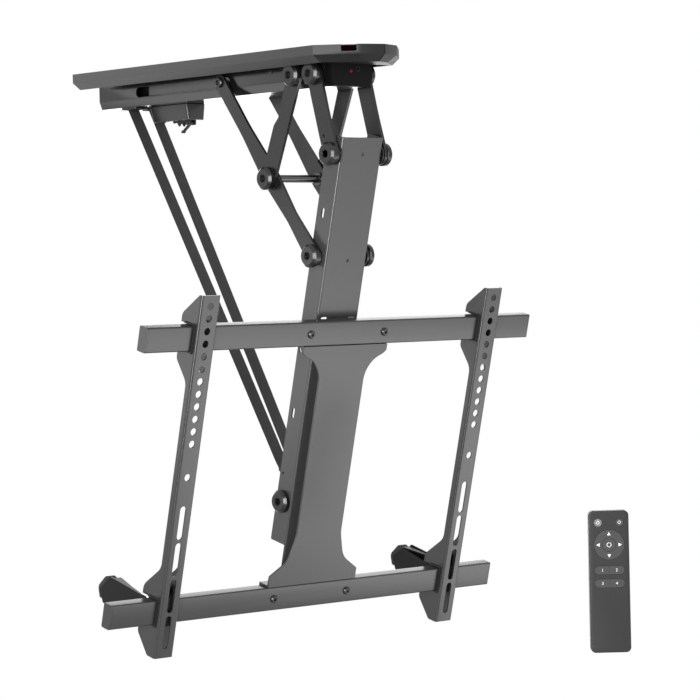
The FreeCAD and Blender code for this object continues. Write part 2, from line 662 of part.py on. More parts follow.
def make_straps():
    """Two straps, each straight from the drum's tangent point to the shaft at the mast's foot."""
    foot = screen.multVec(Vec(0, size("shaft_back"), -size("shaft_below")))
    centre = Vec(0, size("drum_y"), size("drum_z"))
    radius = size("drum_strap_radius")
    span = foot - centre
    lean = math.atan2(span.z, span.y) + math.asin(radius / span.Length)
    along = Vec(0, math.cos(lean), math.sin(lean))
    normal = Vec(0, along.z, -along.y)
    start = centre + normal * radius
    length = (foot - start).dot(along) - size("shaft_radius") - 0.3
    straps = []
    for side in (-1, 1):
        top = start + Vec(side * size("strap_x"), 0, 0)
        end = start + along * length + Vec(side * size("strap_foot_x"), 0, 0)
        half_w = size("strap_width") / 2
        loops = []
        for point in (top, end):
            corners = [point + Vec(sx * half_w, 0, 0) + normal * (sy * size("strap_thick") / 2)
                       for sx, sy in ((-1, -1), (1, -1), (1, 1), (-1, 1))]
            loops.append(Part.makePolygon(corners + [corners[0]]))
        straps.append(Part.makeLoft(loops, True, True))
    print("strap pivot", round(start.y, 2), round(start.z, 2), "length", round(length, 1),
          "angle", round(math.degrees(lean), 3))
    group("lift_straps", straps)


# Limit switch box under the channel and its lever

def make_switch():
    top = -size("channel_depth")
    depth = size("box_depth")
    left, right = size("box_left"), size("box_right")
    front, rear = size("box_y"), size("box_y") + size("box_length")
    corner = size("box_corner")
    upper = wire(rectangle(left, front, right, rear, corner))
    lower = wire(rectangle(left + 2, front - 2, right - 4, rear - 5, corner))
    upper.translate(Vec(0, 0, top))
    lower.translate(Vec(0, 0, top - depth))
    box = Part.makeLoft([upper, lower], True, True)
    group("switch_box", [box])

    lever_x = size("lever_x")
    half = size("lever_width") / 2
    pivot_z = top - depth - 3
    y = size("lever_pivot_y")
    cheeks = []
    for side in (-1, 1):
        start = lever_x + side * (half + 0.3) - (2 if side < 0 else 0)
        loop = face(outline([(y - 4, 0, 0), (y + 33, 0, 0), (y + 31, -2.5, 0), (y + 24, -2, 0),
                             (y + 20, -7, 0), (y + 15, -2.5, 0), (y + 6, -3, 2), (y + 4, -6, 2),
                             (y - 4, -6, 2)]), circle(y, -3, 1.3))
        cheek = loop.extrude(Vec(0, 0, 2))
        upright = Rot(Vec(0, 1, 0), Vec(0, 0, 1), Vec(1, 0, 0), "ZXY")
        cheek.Placement = Place(Vec(start, 0, top - depth), upright)
        cheeks.append(cheek)
    bridge = Part.makeBox(2 * half + 4.6, 12, 1.6, Vec(lever_x - half - 2.3, y + 9, top - depth - 1.6))
    group("limit_switch", [cheeks[0].fuse([cheeks[1], bridge]).removeSplitter()])

    angle = math.radians(size("lever_angle"))
    length = size("lever_length")
    blade = Part.makeBox(size("lever_width"), length, 1.4, Vec(-half, 0, -0.7))
    hub = Part.makeCylinder(2.2, size("lever_width"), Vec(-half, 0, 0), Vec(1, 0, 0))
    pin = Part.makeCylinder(1.2, size("lever_width") + 4.6, Vec(-half - 2.3, 0, 0), Vec(1, 0, 0))
    toe = Part.makeCylinder(1.8, size("lever_width"), Vec(-half, length, 0), Vec(1, 0, 0))
    lever = blade.fuse([hub, pin, toe]).removeSplitter()
    lever.Placement = Place(Vec(lever_x, y, pivot_z), Rot(Vec(1, 0, 0), -math.degrees(angle)))
    group("switch_lever", [lever])


# Arms of the folding linkage

def link_outline(first, second, points):
    """Places outline corners given along and across the line between two pivots."""
    start = Vec(first[0], first[1], 0)
    along = (Vec(second[0], second[1], 0) - start).normalize()
    across = Vec(-along.y, along.x, 0)
    placed = []
    for s, t, radius in points:
        point = start + along * s + across * t
        placed.append((point.x, point.y, radius))
    return outline(placed)


def distance(first, second):
    return math.hypot(first[0] - second[0], first[1] - second[1])


pivot_a = (size("pivot_a_y"), size("pivot_a_z"))
pivot_b = (size("pivot_b_y"), size("pivot_bc_z"))
pivot_c = (size("pivot_c_y"), size("pivot_bc_z"))
pivot_d = (size("pivot_d_y"), size("pivot_d_z"))
pivot_e = (size("pivot_e_y"), size("pivot_e_z"))
pivot_f = (size("pivot_f_y"), size("pivot_f_z"))


def make_arms():
    end = size("arm_end_radius")
    thick = "arm_sheet"
    lift_length = distance(pivot_b, pivot_d)
    lift = link_outline(pivot_b, pivot_d, [
        (-end, -end, end - 0.6), (lift_length + end, -end, end - 0.6),
        (lift_length + end, end, end - 0.6), (0.52 * lift_length, end + 0.6, 7),
        (0.43 * lift_length, end - 4, 7), (0.2 * lift_length, end - 2.2, 10), (-end, end, end - 0.6)])
    guide_length = distance(pivot_c, pivot_e)
    guide = link_outline(pivot_c, pivot_e, [
        (-end, -end, end - 0.6), (0.5 * guide_length, -end + 1.8, size("guide_belly_radius")),
        (guide_length + end, -end, end - 0.6), (guide_length + end, end, end - 0.6), (-end, end, end - 0.6)])
    top = size("drive_top_radius")
    upper = distance(pivot_a, pivot_d)
    straight = Vec(pivot_d[0] - pivot_a[0], pivot_d[1] - pivot_a[1], 0).normalize()
    across = Vec(-straight.y, straight.x, 0)
    down = Vec(pivot_f[0] - pivot_d[0], pivot_f[1] - pivot_d[1], 0)
    f_along, f_across = upper + down.dot(straight), down.dot(across)
    waist = size("drive_waist_radius")
    drive = link_outline(pivot_a, pivot_d, [
        (-top, -top, top - 0.6), (0.5 * upper, -top + 0.7, waist), (upper, -end - 1, 30),
        (upper + 0.5 * (f_along - upper), 0.5 * f_across - 8.5, 60),
        (f_along + end, f_across - end, end - 0.6), (f_along + end, f_across + end, end - 0.6),
        (upper + 0.5 * (f_along - upper), 0.5 * f_across + 9.5, 60), (upper, end + 1, 30),
        (0.5 * upper, top - 0.7, waist), (-top, top, top - 0.6)])
    pivots = (("b", pivot_b), ("c", pivot_c), ("d", pivot_d), ("e", pivot_e), ("f", pivot_f))
    hole = {name: circle(point[0], point[1], shank_hole) for name, point in pivots}
    carriage_hole = circle(pivot_a[0], pivot_a[1], size("carriage_pin_radius") + size("pin_gap"))
    small_hole = circle(pivot_e[0] + 11, pivot_e[1] + 21.7, 1.8)
    arms = [
        ("lift_arm", [lift, hole["b"], hole["d"]], "outer_arm_x"),
        ("drive_arm", [drive, carriage_hole, hole["d"], hole["f"]], "inner_arm_x"),
        ("guide_arm", [guide, hole["c"], hole["e"], small_hole], "inner_arm_x"),
    ]
    for name, loops, inner in arms:
        pad(new_body("right_" + name), "right_" + name + "_profile", "YZ_Plane", loops, thick, inner)
        pad(new_body("left_" + name), "left_" + name + "_profile", "YZ_Plane", loops, thick,
            "- " + inner + " - arm_sheet")


def cap_profile(head_in, stem):
    """The (x, radius) points of a bolt head, from the middle of its recess round to the stem."""
    head_out = head_in + size("cap_length")
    radius = size("cap_radius")
    bottom = head_out - size("recess_depth")
    return [(bottom, 0), (bottom, size("recess_radius")), (head_out, size("recess_radius")),
            (head_out, size("cap_face_radius")), (head_out - size("cap_taper"), radius),
            (head_in + 0.6, radius), (head_in, radius - 0.6), (head_in, stem)]


def bolt(point, head_in, side, end, stem, tail):
    """A turned bolt: head outside an arm, stem, the further steps of its tail and a hexagon socket."""
    solid = turned([(end, 0)] + cap_profile(head_in, stem) + tail, point[0], point[1], side)
    return solid.cut(socket(head_in + size("cap_length"), point[0], point[1], side))


def nut_tail(outside, inside):
    """Steps from a wall's outer face: the thread through it, the nut behind it and the bolt's end."""
    thread = size("pin_radius") - 1
    back = inside - size("nut_length")
    return [(outside, thread), (inside, thread), (inside, size("nut_radius")), (back, size("nut_radius")),
            (back, thread), (back - 1, thread)]


def make_pivots():
    gap = size("side_gap")
    shank = size("pin_radius")
    inner_arm = size("inner_arm_x")
    spacer = size("spacer_radius")
    bolts = []
    spacers = []
    for side in (-1, 1):
        for point, inner, outer in ((pivot_b, size("outer_arm_x"), lift_out), (pivot_c, inner_arm, arm_out)):
            tail = [(half_channel, shank)] + nut_tail(half_channel, wall_in)
            bolts.append(bolt(point, outer + gap, side, tail[-1][0], shank, tail))
            spacers.append(turned([(half_channel, shank_hole), (inner - gap, shank_hole),
                                   (inner - gap, spacer), (half_channel, spacer)], point[0], point[1], side))
    group("channel_pivot_bolts", bolts)
    group("channel_pivot_spacers", spacers)

    rod_end = inner_arm - gap
    flange_in = rod_end - size("rod_flange")
    halves = [turned([(0, 0), (rod_end, 0), (rod_end, size("rod_flange_radius")),
                      (flange_in, size("rod_flange_radius")), (flange_in, size("rod_radius")),
                      (0, size("rod_radius"))], pivot_d[0], pivot_d[1], side) for side in (-1, 1)]
    group("cross_rod", [halves[0].fuse(halves[1]).removeSplitter()])
    group("crossing_bolts", [bolt(pivot_d, lift_out, side, rod_end, shank, [(rod_end, shank)])
                             for side in (-1, 1)])

    seat = half_mast + gap
    inside = mast_in - gap
    washer = size("washer_radius")
    thin = size("guide_shank")
    collar = size("guide_collar")
    rim = seat + 1.2
    end = inside - 4
    guide_tail = [(inner_arm, shank), (inner_arm, washer - 2), (rim, washer - 2), (rim, washer),
                  (seat, washer), (seat, thin), (inside, thin), (inside, collar), (end, collar)]
    group("guide_arm_bolts", [bolt(pivot_e, arm_out, side, end, shank, guide_tail) for side in (-1, 1)])

    mast_tail = [(inner_arm - gap, shank), (inner_arm - gap, spacer), (half_mast, spacer)]
    mast_tail += nut_tail(half_mast, mast_in)
    group("mast_pivot_bolts", [bolt(pivot_f, arm_out + gap, side, mast_tail[-1][0], shank, mast_tail)
                               for side in (-1, 1)])


# Carriage that runs in the channel's slots

def make_carriage():
    y, z = pivot_a
    half = size("carriage_length") / 2
    cheek_in = size("inner_rail_width") / 2 + size("carriage_gap")
    cheek_out = cheek_in + size("carriage_cheek")
    low = size("channel_depth") - size("channel_sheet") - 3.7
    floor_t = 2.3
    pieces = [Part.makeBox(2 * cheek_out, 2 * half, floor_t, Vec(-cheek_out, y - half, -low))]
    for side in (-1, 1):
        x = cheek_in if side > 0 else -cheek_out
        pieces.append(Part.makeBox(cheek_out - cheek_in, 2 * half, low + z + 7, Vec(x, y - half, -low)))
    carriage = pieces[0].fuse(pieces[1:]).removeSplitter()
    bore = Part.makeCylinder(size("carriage_pin_radius"), 100, Vec(-50, y, z), Vec(1, 0, 0))
    group("carriage", [carriage.cut(bore)])
    pins = []
    pin = size("carriage_pin_radius")
    head = size("carriage_head_radius")
    gap = size("side_gap")
    for side in (-1, 1):
        profile = [(cheek_in, 0), (arm_out + gap + 3.2, 0), (arm_out + gap + 3.2, head - 1.2),
                   (arm_out + gap + 2, head), (arm_out + gap, head), (arm_out + gap, pin),
                   (size("inner_arm_x") - gap, pin), (size("inner_arm_x") - gap, pin + 2.5),
                   (half_channel + gap, pin + 2.5), (half_channel + gap, pin), (cheek_in, pin)]
        solid = turned(profile, y, z, side)
        recess = face(hexagon(0, 0, 3.4)).extrude(Vec(0, 0, 2))
        recess.Placement = Place(Vec(side * (arm_out + gap + 3.2), y, z), Rot(Vec(0, 1, 0), -90 * side))
        pins.append(solid.cut(recess))
    group("carriage_screws", pins)


# Screen side: mast, adapter plate, rails and strap shaft

def across(loops, x0, x1):
    """Outlines drawn as (back, up), extruded along X."""
    block = face(*loops).extrude(Vec(0, 0, x1 - x0))
    block.Placement = Place(Vec(x0, 0, 0), Rot(Vec(0, 1, 0), Vec(0, 0, 1), Vec(1, 0, 0), "ZXY"))
    return block


def backwards(loops, y0, y1):
    """Outlines drawn as (across, up), extruded along Y."""
    block = face(*loops).extrude(Vec(0, 0, y1 - y0))
    block.Placement = Place(Vec(0, y1, 0), Rot(Vec(1, 0, 0), 90))
    return block


def folded(centre, half, front, back, low, top, thick, bend):
    """An upright folded sheet with a flat front, two flanges pointing backwards and round bends."""
    inner = bend - thick
    loop = outline([(-half, back, 0), (-half, front, bend), (half, front, bend), (half, back, 0),
                    (half - thick, back, 0), (half - thick, front + thick, inner),
                    (thick - half, front + thick, inner), (thick - half, back, 0)])
    block = face(loop).extrude(Vec(0, 0, top - low))
    block.translate(Vec(centre, 0, low))
    return block


def make_mast():
    front = size("mast_setback")
    thick = size("mast_sheet")
    back = front + size("mast_depth")
    top = size("mast_top")
    low = -size("mast_flange_bottom")
    web_low = -size("mast_web_bottom")
    e_back, e_up = on_screen(*pivot_e)
    f_back, f_up = on_screen(*pivot_f)
    slot = size("guide_slot_length") / 2
    blank = folded(0, half_mast, front, back, web_low, top, thick, size("mast_bend"))
    side_view = outline([(front - 1, web_low, 0), (front + thick, web_low, 0), (front + thick, low, 0),
                         (back, low, 2), (back, top, 3), (front - 1, top, 0)])
    lean = math.radians(9)
    mid_back, mid_up = e_back + 0.4, e_up + 0.2
    holes = [
        circle(f_back, f_up, size("pin_radius") - 1 + size("pin_gap")),
        obround(mid_back - slot * math.sin(lean), mid_up - slot * math.cos(lean),
                mid_back + slot * math.sin(lean), mid_up + slot * math.cos(lean), size("guide_slot_radius")),
        circle(size("shaft_back"), -size("shaft_below"), size("shaft_radius") + size("pin_gap")),
        obround(back - 10.5, 135.3, back - 10.5, 143.3, 2.4),
        obround(back - 8.2, -114.1, back - 8.2, -106.1, 2.4),
        obround(back - 6, -33.5, back - 3.5, -30.5, 1.6),
        circle(back - 5.4, -187, 1.8),
    ]
    cuts = [across([loop], -half_mast - 1, half_mast + 1) for loop in holes]
    for up in (214.7, 84.6):
        cuts.append(Part.makeCylinder(2.2, 1.2, Vec(2, front, up), Vec(0, 1, 0)))
    through = (front - 1, front + thick + 1)
    for side in (-1, 1):
        cuts.append(backwards([obround(side * 18.5, 12.5, side * 24.5, 12.5, 2.2)], *through))
        for up in (-8, -336):
            cuts.append(backwards([circle(side * size("mast_screw_x"), up, 2.6)], *through))
    mast = blank.common(across([side_view], -half_mast - 1, half_mast + 1)).cut(cuts)
    group("mast_channel", mast.removeSplitter().Solids, screen)

    bore = size("shaft_thread") + size("pin_gap")
    depth = 10
    shaft = Part.makeCylinder(size("shaft_radius"), 2 * half_mast,
                              Vec(-half_mast, size("shaft_back"), -size("shaft_below")), Vec(1, 0, 0))
    heads = []
    for side in (-1, 1):
        end = half_mast - depth
        shaft = shaft.cut(turned([(end, 0), (half_mast + 1, 0), (half_mast + 1, bore), (end, bore)],
                                 size("shaft_back"), -size("shaft_below"), side))
        heads.append(bolt((size("shaft_back"), -size("shaft_below")), half_mast, side, end + 0.5,
                          size("shaft_thread"), [(end + 0.5, size("shaft_thread"))]))
    group("strap_shaft", [shaft], screen)
    group("strap_shaft_heads", heads, screen)


def make_adapter():
    thick = size("adapter_sheet")
    gap = size("adapter_gap")
    half_rail = size("rail_height") / 2
    spacing = size("rail_spacing")
    depth = size("rail_depth") + gap
    lip = size("adapter_lip")
    top = -half_rail - gap
    bottom = -spacing + half_rail + gap
    wide_top = size("adapter_top_width") / 2
    waist = size("adapter_waist") / 2
    wide_low = size("adapter_bottom_width") / 2
    right = [(wide_low, bottom, 0), (wide_low, bottom + size("adapter_foot"), 3),
             (waist + size("adapter_knee_x"), bottom + size("adapter_knee"), size("adapter_knee_radius")),
             (waist, bottom + size("adapter_waist_start"), size("adapter_waist_radius")),
             (waist, top - size("adapter_waist_end"), size("adapter_flare_radius")),
             (wide_top - 5, top - 12, 4), (wide_top, top - 8, 3), (wide_top, top, 0)]
    loop = outline(right + [(-x, v, r) for x, v, r in reversed(right)])
    body = new_body("adapter_plate", screen)
    pad(body, "front_sheet", "XZ_Plane", [loop], "adapter_sheet", "- adapter_sheet")
    screw = size("rail_screw_radius") + size("pin_gap")
    holes = [circle(side * size("rail_screw_x"), 0, screw) for side in (-1, 1)]
    pad(body, "upper_shelf", "XY_Plane", [rectangle(-wide_top, 0, wide_top, depth + thick)],
        "adapter_sheet", "- rail_height / 2 - adapter_gap - adapter_sheet")
    pad(body, "upper_lip", "XZ_Plane",
        [rectangle(-wide_top, top - thick, wide_top, top + lip)] + holes,
        "adapter_sheet", "- rail_depth - adapter_gap - adapter_sheet")
    pad(body, "lower_shelf", "XY_Plane", [rectangle(-wide_low, 0, wide_low, depth + thick)],
        "adapter_sheet", "- rail_spacing + rail_height / 2 + adapter_gap")
    low_holes = [circle(side * size("rail_screw_x"), -spacing, screw) for side in (-1, 1)]
    pad(body, "lower_lip", "XZ_Plane",
        [rectangle(-wide_low, bottom - lip, wide_low, bottom + thick)] + low_holes,
        "adapter_sheet", "- rail_depth - adapter_gap - adapter_sheet")
    back = depth + thick
    pads = []
    for v0, v1 in ((-half_rail + 2, half_rail - 3), (-spacing - half_rail + 5, -spacing + half_rail - 2)):
        block = Part.makeBox(50, size("mast_setback") - back, v1 - v0, Vec(-25, back, v0))
        pads.append(block)
    group("mast_pads", pads, screen)


def make_rails():
    half = size("rail_length") / 2
    height = size("rail_height") / 2
    depth = size("rail_depth")
    wall = size("rail_wall")
    for name, v in (("upper_rail", 0), ("lower_rail", -size("rail_spacing"))):
        solid = across([rectangle(0, v - height, depth, v + height, 1.8),
                        rectangle(wall, v - height + wall, depth - wall, v + height - wall, 0.8)],
                       -half, half)
        for side in (-1, 1):
            bore = Part.makeCylinder(size("rail_screw_radius") + size("pin_gap"), 3 * depth,
                                     Vec(side * size("rail_screw_x"), -depth, v), Vec(0, 1, 0))
            solid = solid.cut(bore)
        group(name, [solid], screen)
    plugs = []
    for v in (0, -size("rail_spacing")):
        for side in (-1, 1):
            outer, mid, inner = (side * (half + size("plug_flange")), side * half,
                                 side * (half - size("plug_depth")))
            flange = across([rectangle(0, v - height, depth, v + height, 1.8)],
                            min(outer, mid), max(outer, mid))
            stem = across([rectangle(wall, v - height + wall, depth - wall, v + height - wall, 0.8),
                           rectangle(wall + 1.5, v - height + wall + 1.5, depth - wall - 1.5,
                                     v + height - wall - 1.5)], min(inner, mid), max(inner, mid))
            plugs.append(flange.fuse(stem).removeSplitter())
    group("rail_end_plugs", plugs, screen)
    screws = []
    lip_back = depth + size("adapter_gap") + size("adapter_sheet")
    head_r = size("rail_screw_head")
    for v in (0, -size("rail_spacing")):
        for side in (-1, 1):
            x = side * size("rail_screw_x")
            shank = Part.makeCylinder(size("rail_screw_radius"), lip_back + 4.6, Vec(x, -1, v), Vec(0, 1, 0))
            head = Part.makeCone(head_r - 1.4, head_r, 1.6, Vec(x, -2.8, v), Vec(0, 1, 0))
            rim = Part.makeCylinder(head_r, 1.2, Vec(x, -1.2, v), Vec(0, 1, 0))
            nut = face(hexagon(0, 0, head_r + 0.6)).extrude(Vec(0, 0, 3.4))
            nut.Placement = Place(Vec(x, lip_back + 3.4, v), Rot(Vec(1, 0, 0), 90))
            recess = face(hexagon(0, 0, 2.3)).extrude(Vec(0, 0, 1.8))
            recess.Placement = Place(Vec(x, -2.8 + 1.8, v), Rot(Vec(1, 0, 0), 90))
            screws.append(shank.fuse([head, rim, nut]).cut(recess).removeSplitter())
    group("rail_screws", screws, screen)


# Screen brackets, their rail clips and the rest arms behind them

def bracket_profile():
    """Side view of a bracket: its flanges deepen at both rails along slopes of 45 degrees."""
    front = -size("bracket_proud")
    deep = front + size("bracket_deep")
    low_deep = front + size("bracket_low_deep")
    shallow = front + size("bracket_shallow")
    nose = front + size("bracket_nose")
    top = size("bracket_top")
    bottom = -size("bracket_bottom")
    tight = size("rail_height") / 2 + 2 * size("clip_gap")
    rail_half = size("rail_height") / 2 + size("clip_gap") + size("clip_wall")
    notch = -size("clip_gap") - size("clip_wall")
    step = size("clip_reach") + size("clip_gap")
    lower = -size("rail_spacing")
    upper_end = -size("bracket_upper_end")
    lower_start = lower + size("bracket_lower_start")
    lower_end = lower - size("bracket_lower_end")
    def around(rail, depth):
        """The notch for a rail and its clip, from the flange's back edge in and out again."""
        return [(depth, rail + tight, 0), (step, rail + tight, 0), (step, rail + rail_half, 0),
                (notch, rail + rail_half, 0), (notch, rail - rail_half, 0), (step, rail - rail_half, 0),
                (step, rail - tight, 0), (depth, rail - tight, 0)]

    return outline(
        [(front - 1, top, 0), (nose, top, 3), (deep, top - deep + nose, 10)]
        + around(0, deep)
        + [(deep, upper_end, 8), (shallow, upper_end - deep + shallow, 16),
           (shallow, lower_start + low_deep - shallow, 16), (low_deep, lower_start, 14)]
        + around(lower, low_deep)
        + [(low_deep, lower_end, 8), (low_deep - lower_end + bottom, bottom, 4), (front - 1, bottom, 0)])


def make_bracket(name, side):
    centre = side * size("bracket_" + name)
    half = size("bracket_width") / 2
    front = -size("bracket_proud")
    low, top = -size("bracket_bottom"), size("bracket_top")
    pitch = size("bracket_hole_pitch")
    radius = size("bracket_hole_radius")
    slot_radius = size("bracket_slot_radius")
    blank = folded(centre, half, front, front + size("bracket_low_deep"), low, top, size("bracket_sheet"),
                   size("bracket_bend"))
    holes = [circle(centre, size("bracket_hole_top") - pitch * index, radius) for index in range(12)]
    holes.append(circle(centre, -165, radius))
    for index in range(4):
        upper = -size("bracket_slot_top") - index * 3 * pitch
        holes.append(obround(centre, upper - slot_radius, centre,
                             upper - size("bracket_slot_length") + slot_radius, slot_radius))
    cuts = [backwards([loop], front - 1, front + size("bracket_sheet") + 1) for loop in holes]
    bracket = blank.common(across([bracket_profile()], centre - half - 1, centre + half + 1)).cut(cuts)
    group(name + "_bracket", bracket.removeSplitter().Solids, screen)

    clips = []
    gap = size("clip_gap")
    wall = size("clip_wall")
    reach = size("clip_reach")
    rail_half = size("rail_height") / 2 + gap
    for v in (0, -size("rail_spacing")):
        loop = section([
            (-gap, v + rail_half), (reach, v + rail_half), (reach, v + rail_half + wall),
            (-gap - wall, v + rail_half + wall), (-gap - wall, v - rail_half - wall),
            (reach, v - rail_half - wall), (reach, v - rail_half), (-gap, v - rail_half)])
        clips.append(across([loop], centre - size("clip_width") / 2, centre + size("clip_width") / 2))
    group(name + "_rail_clips", clips, screen)
    make_rest_arm(name, side, centre)


def make_rest_arm(name, side, centre):
    """A folded arm behind the lower rail that carries a bumper at its end."""
    v0 = -size("rail_spacing")
    rise = size("rest_rise")
    fall = size("rest_fall")
    long_ = size("rest_length")
    plate = size("rest_sheet")
    face_in = size("bracket_width") / 2 - size("bracket_sheet")
    start = size("clip_reach") + 0.8
    inner_x = centre + side * size("rest_inner")
    outer_x = centre + side * size("rest_outer")
    low_x, high_x = min(inner_x, outer_x), max(inner_x, outer_x)
    tip = [(long_, v0 - 4.3, 3), (long_ - 9, v0 - fall, 3)]
    outer_loop = outline([(start + 1, v0 - fall, 0), (start + 1, v0 + rise - 2, 0),
                          (long_ - 17, v0 + rise, 2)] + tip)
    inner_loop = outline([(start, v0 - fall, 0), (start, v0 + 4, 0), (long_ - 17, v0 + rise - 3, 2)] + tip)
    own = "%s bracket_%s %s " % ("" if side > 0 else "-", name, "+" if side > 0 else "-")
    arm = new_body(name + "_rest_arm", screen)
    pad(arm, name + "_rest_root", "XZ_Plane",
        [rectangle(centre - face_in, v0 - 25, centre + face_in, v0 + 25)],
        "rest_sheet", "- clip_reach - 0.8 - rest_sheet")
    pad(arm, name + "_rest_inner", "YZ_Plane", [inner_loop], "rest_sheet",
        own + ("rest_inner" if side > 0 else "rest_inner - rest_sheet"))
    pad(arm, name + "_rest_cross", "XZ_Plane", [rectangle(low_x, v0 - fall, high_x, v0 + 6)], "rest_sheet",
        "bracket_proud - bracket_low_deep - 1.3 - rest_sheet")
    pad(arm, name + "_rest_outer", "YZ_Plane", [outer_loop], "rest_sheet",
        own + ("rest_outer - rest_sheet" if side > 0 else "rest_outer"))
    pad(arm, name + "_rest_flange", "XY_Plane",
        [section([(outer_x, 0.3 * long_), (outer_x, long_ - 18), (inner_x, long_ - 18),
                  (outer_x - side * plate, 0.3 * long_)])],
        "rest_sheet", "- rail_spacing + rest_rise - 2 * rest_sheet")
    block = outline([(long_ - 18, v0 + 12, 2), (long_ - 18, v0 - 14, 2), (long_ + 1, v0 - 16, 3),
                     (long_ + 7, v0 - 3, 8), (long_ - 6, v0 + 14, 5)])
    group(name + "_rest_bumper", [across([block], low_x + plate, high_x - plate)], screen)


# Hand-held remote control

def remote_place():
    return Place(Vec(size("remote_x"), size("remote_y"), size("remote_z")),
                 Rot(Vec(0, 0, 1), size("remote_turn")))


def slab(x0, z0, x1, z1, radius, y0, y1):
    """A rounded block that stands upright, from depth y0 to y1."""
    return backwards([rectangle(x0, z0, x1, z1, radius)], y0, y1)


def disc(x, z, radius, y0, y1):
    return Part.makeCylinder(radius, y1 - y0, Vec(x, y0, z), Vec(0, 1, 0))


def make_remote():
    half = size("remote_width") / 2
    tall = size("remote_height") / 2
    front = -size("remote_depth") / 2
    back = -front
    wall = size("remote_wall")
    corner = size("remote_corner")
    split = front + size("remote_split")
    gap = size("key_gap")
    place = remote_place()
    key_x = size("round_key_x")
    key_z = size("round_key_z")
    ring_z = size("ring_z")
    pill_w = size("pill_width") / 2
    pill_h = size("pill_height") / 2

    def pill(z, grow, y0, y1):
        w, h = pill_w + grow, pill_h + grow
        return slab(-w, z - h, w, z + h, h - 0.1, y0, y1)

    outer = slab(-half, -tall, half, tall, corner, front, split)
    edge = [e for e in outer.Edges if e.BoundBox.YMax < front + 0.01]
    outer = outer.makeFillet(1.6, edge)
    inner = slab(-half + wall, -tall + wall, half - wall, tall - wall, corner - wall,
                 front + wall, split + 1)
    shell = outer.cut(inner)
    cuts = [disc(-key_x, key_z, size("round_key_radius") + gap, front - 1, split),
            disc(key_x, key_z, size("round_key_radius") + gap, front - 1, split),
            disc(0, ring_z, size("ring_radius") + gap, front - 1, split),
            pill(size("number_key_z"), gap, front - 1, split),
            pill(size("memory_key_z"), gap, front - 1, split)]
    group("remote_front_shell", [shell.cut(cuts)], place)

    outer = slab(-half, -tall, half, tall, corner, split, back)
    edge = [e for e in outer.Edges if e.BoundBox.YMin > back - 0.01]
    outer = outer.makeFillet(1.6, edge)
    inner = slab(-half + wall, -tall + wall, half - wall, tall - wall, corner - wall, split - 1, back - wall)
    door_w, door_z0, door_z1 = half - 6, -tall + 12, -tall + 76
    opening = slab(-door_w, door_z0, door_w, door_z1, 3, back - wall - 1, back + 1)
    group("remote_back_shell", [outer.cut([inner, opening])], place)
    door = slab(-door_w + 0.2, door_z0 + 0.2, door_w - 0.2, door_z1 - 0.2, 2.8, back - wall, back)
    group("battery_door", [door], place)
    cells = []
    for x in (-6.2, 6.2):
        radius = 5.1
        y = back - wall - 0.1 - radius
        battery = Part.makeCylinder(radius, 43, Vec(x, y, door_z0 + 10), Vec(0, 0, 1))
        nub = Part.makeCylinder(1.9, 1.2, Vec(x, y, door_z0 + 53), Vec(0, 0, 1))
        cells.append(battery.fuse(nub).removeSplitter())
    group("remote_batteries", cells, place)
    board_y = front + size("key_depth") + 1.1
    board = slab(-half + wall + 0.2, -8, half - wall - 0.2, tall - wall - 0.2, corner - wall, board_y,
                 board_y + size("board_thick"))
    group("remote_board", [board], place)

    rise = size("key_rise")
    foot = front + size("key_depth")

    def key(label, shape):
        group(label, [shape], place)

    key("power_button", disc(-key_x, key_z, size("round_key_radius"), front - rise, foot))
    key("source_button", disc(key_x, key_z, size("round_key_radius"), front - rise, foot))
    ring = disc(0, ring_z, size("ring_radius"), front - rise, foot)
    key("direction_ring", ring.cut(disc(0, ring_z, size("ok_radius") + gap, front - 2, foot + 1)))
    key("ok_button", disc(0, ring_z, size("ok_radius"), front - rise - 0.2, foot))
    for label, z in (("number_key", size("number_key_z")), ("memory_key", size("memory_key_z"))):
        groove = Part.makeBox(0.7, 0.4, 2 * pill_h + 1, Vec(-0.35, front - rise - 0.1, z - pill_h - 0.5))
        key(label, pill(z, 0, front - rise, foot).cut(groove))


make_ceiling_plate()
make_front_covers()
make_drive_channel()
make_channel_front()
make_inner_rail()
make_control_board()
make_drive()
make_straps()
make_switch()
make_arms()
make_pivots()
make_carriage()
make_mast()
make_adapter()
make_rails()
for bracket, side in (("left", -1), ("right", 1)):
    make_bracket(bracket, side)
make_remote()

doc.recompute()
faults = []
for thing in doc.Objects:
    if "Invalid" in thing.State or "Error" in thing.State:
        faults.append(thing.Label)
for part in parts:
    if part.Shape.isNull() or not part.Shape.isValid() or not part.Shape.Solids:
        faults.append(part.Label + " shape")
if faults:
    raise RuntimeError("faulty objects: " + ", ".join(faults))

os.makedirs("parts", exist_ok=True)
for part in parts:
    part.Shape.exportStep("parts/" + part.Label + ".step")
print(len(parts), "nodes")
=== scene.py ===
# %% [markdown]
# # A motor-driven ceiling mount for a flat screen
#
# Everything below is in metres, in the mount's own frame. The origin is on the ceiling, in the
# middle of the mounting plate. +Z is up, +X runs along the screen rails and -Y is the side of the
# person who watches the screen.
#
# The sheet metal, the arms and the bolts come ready made as solids. This script gives each of them
# its finish, softens its edges, and adds what is too fine for a construction drawing: two woven
# straps, two small screws and the printed marks on the remote control.

# %% The frame
import math

import bmesh
import bpy
import numpy as np
from mathutils import Matrix, Vector


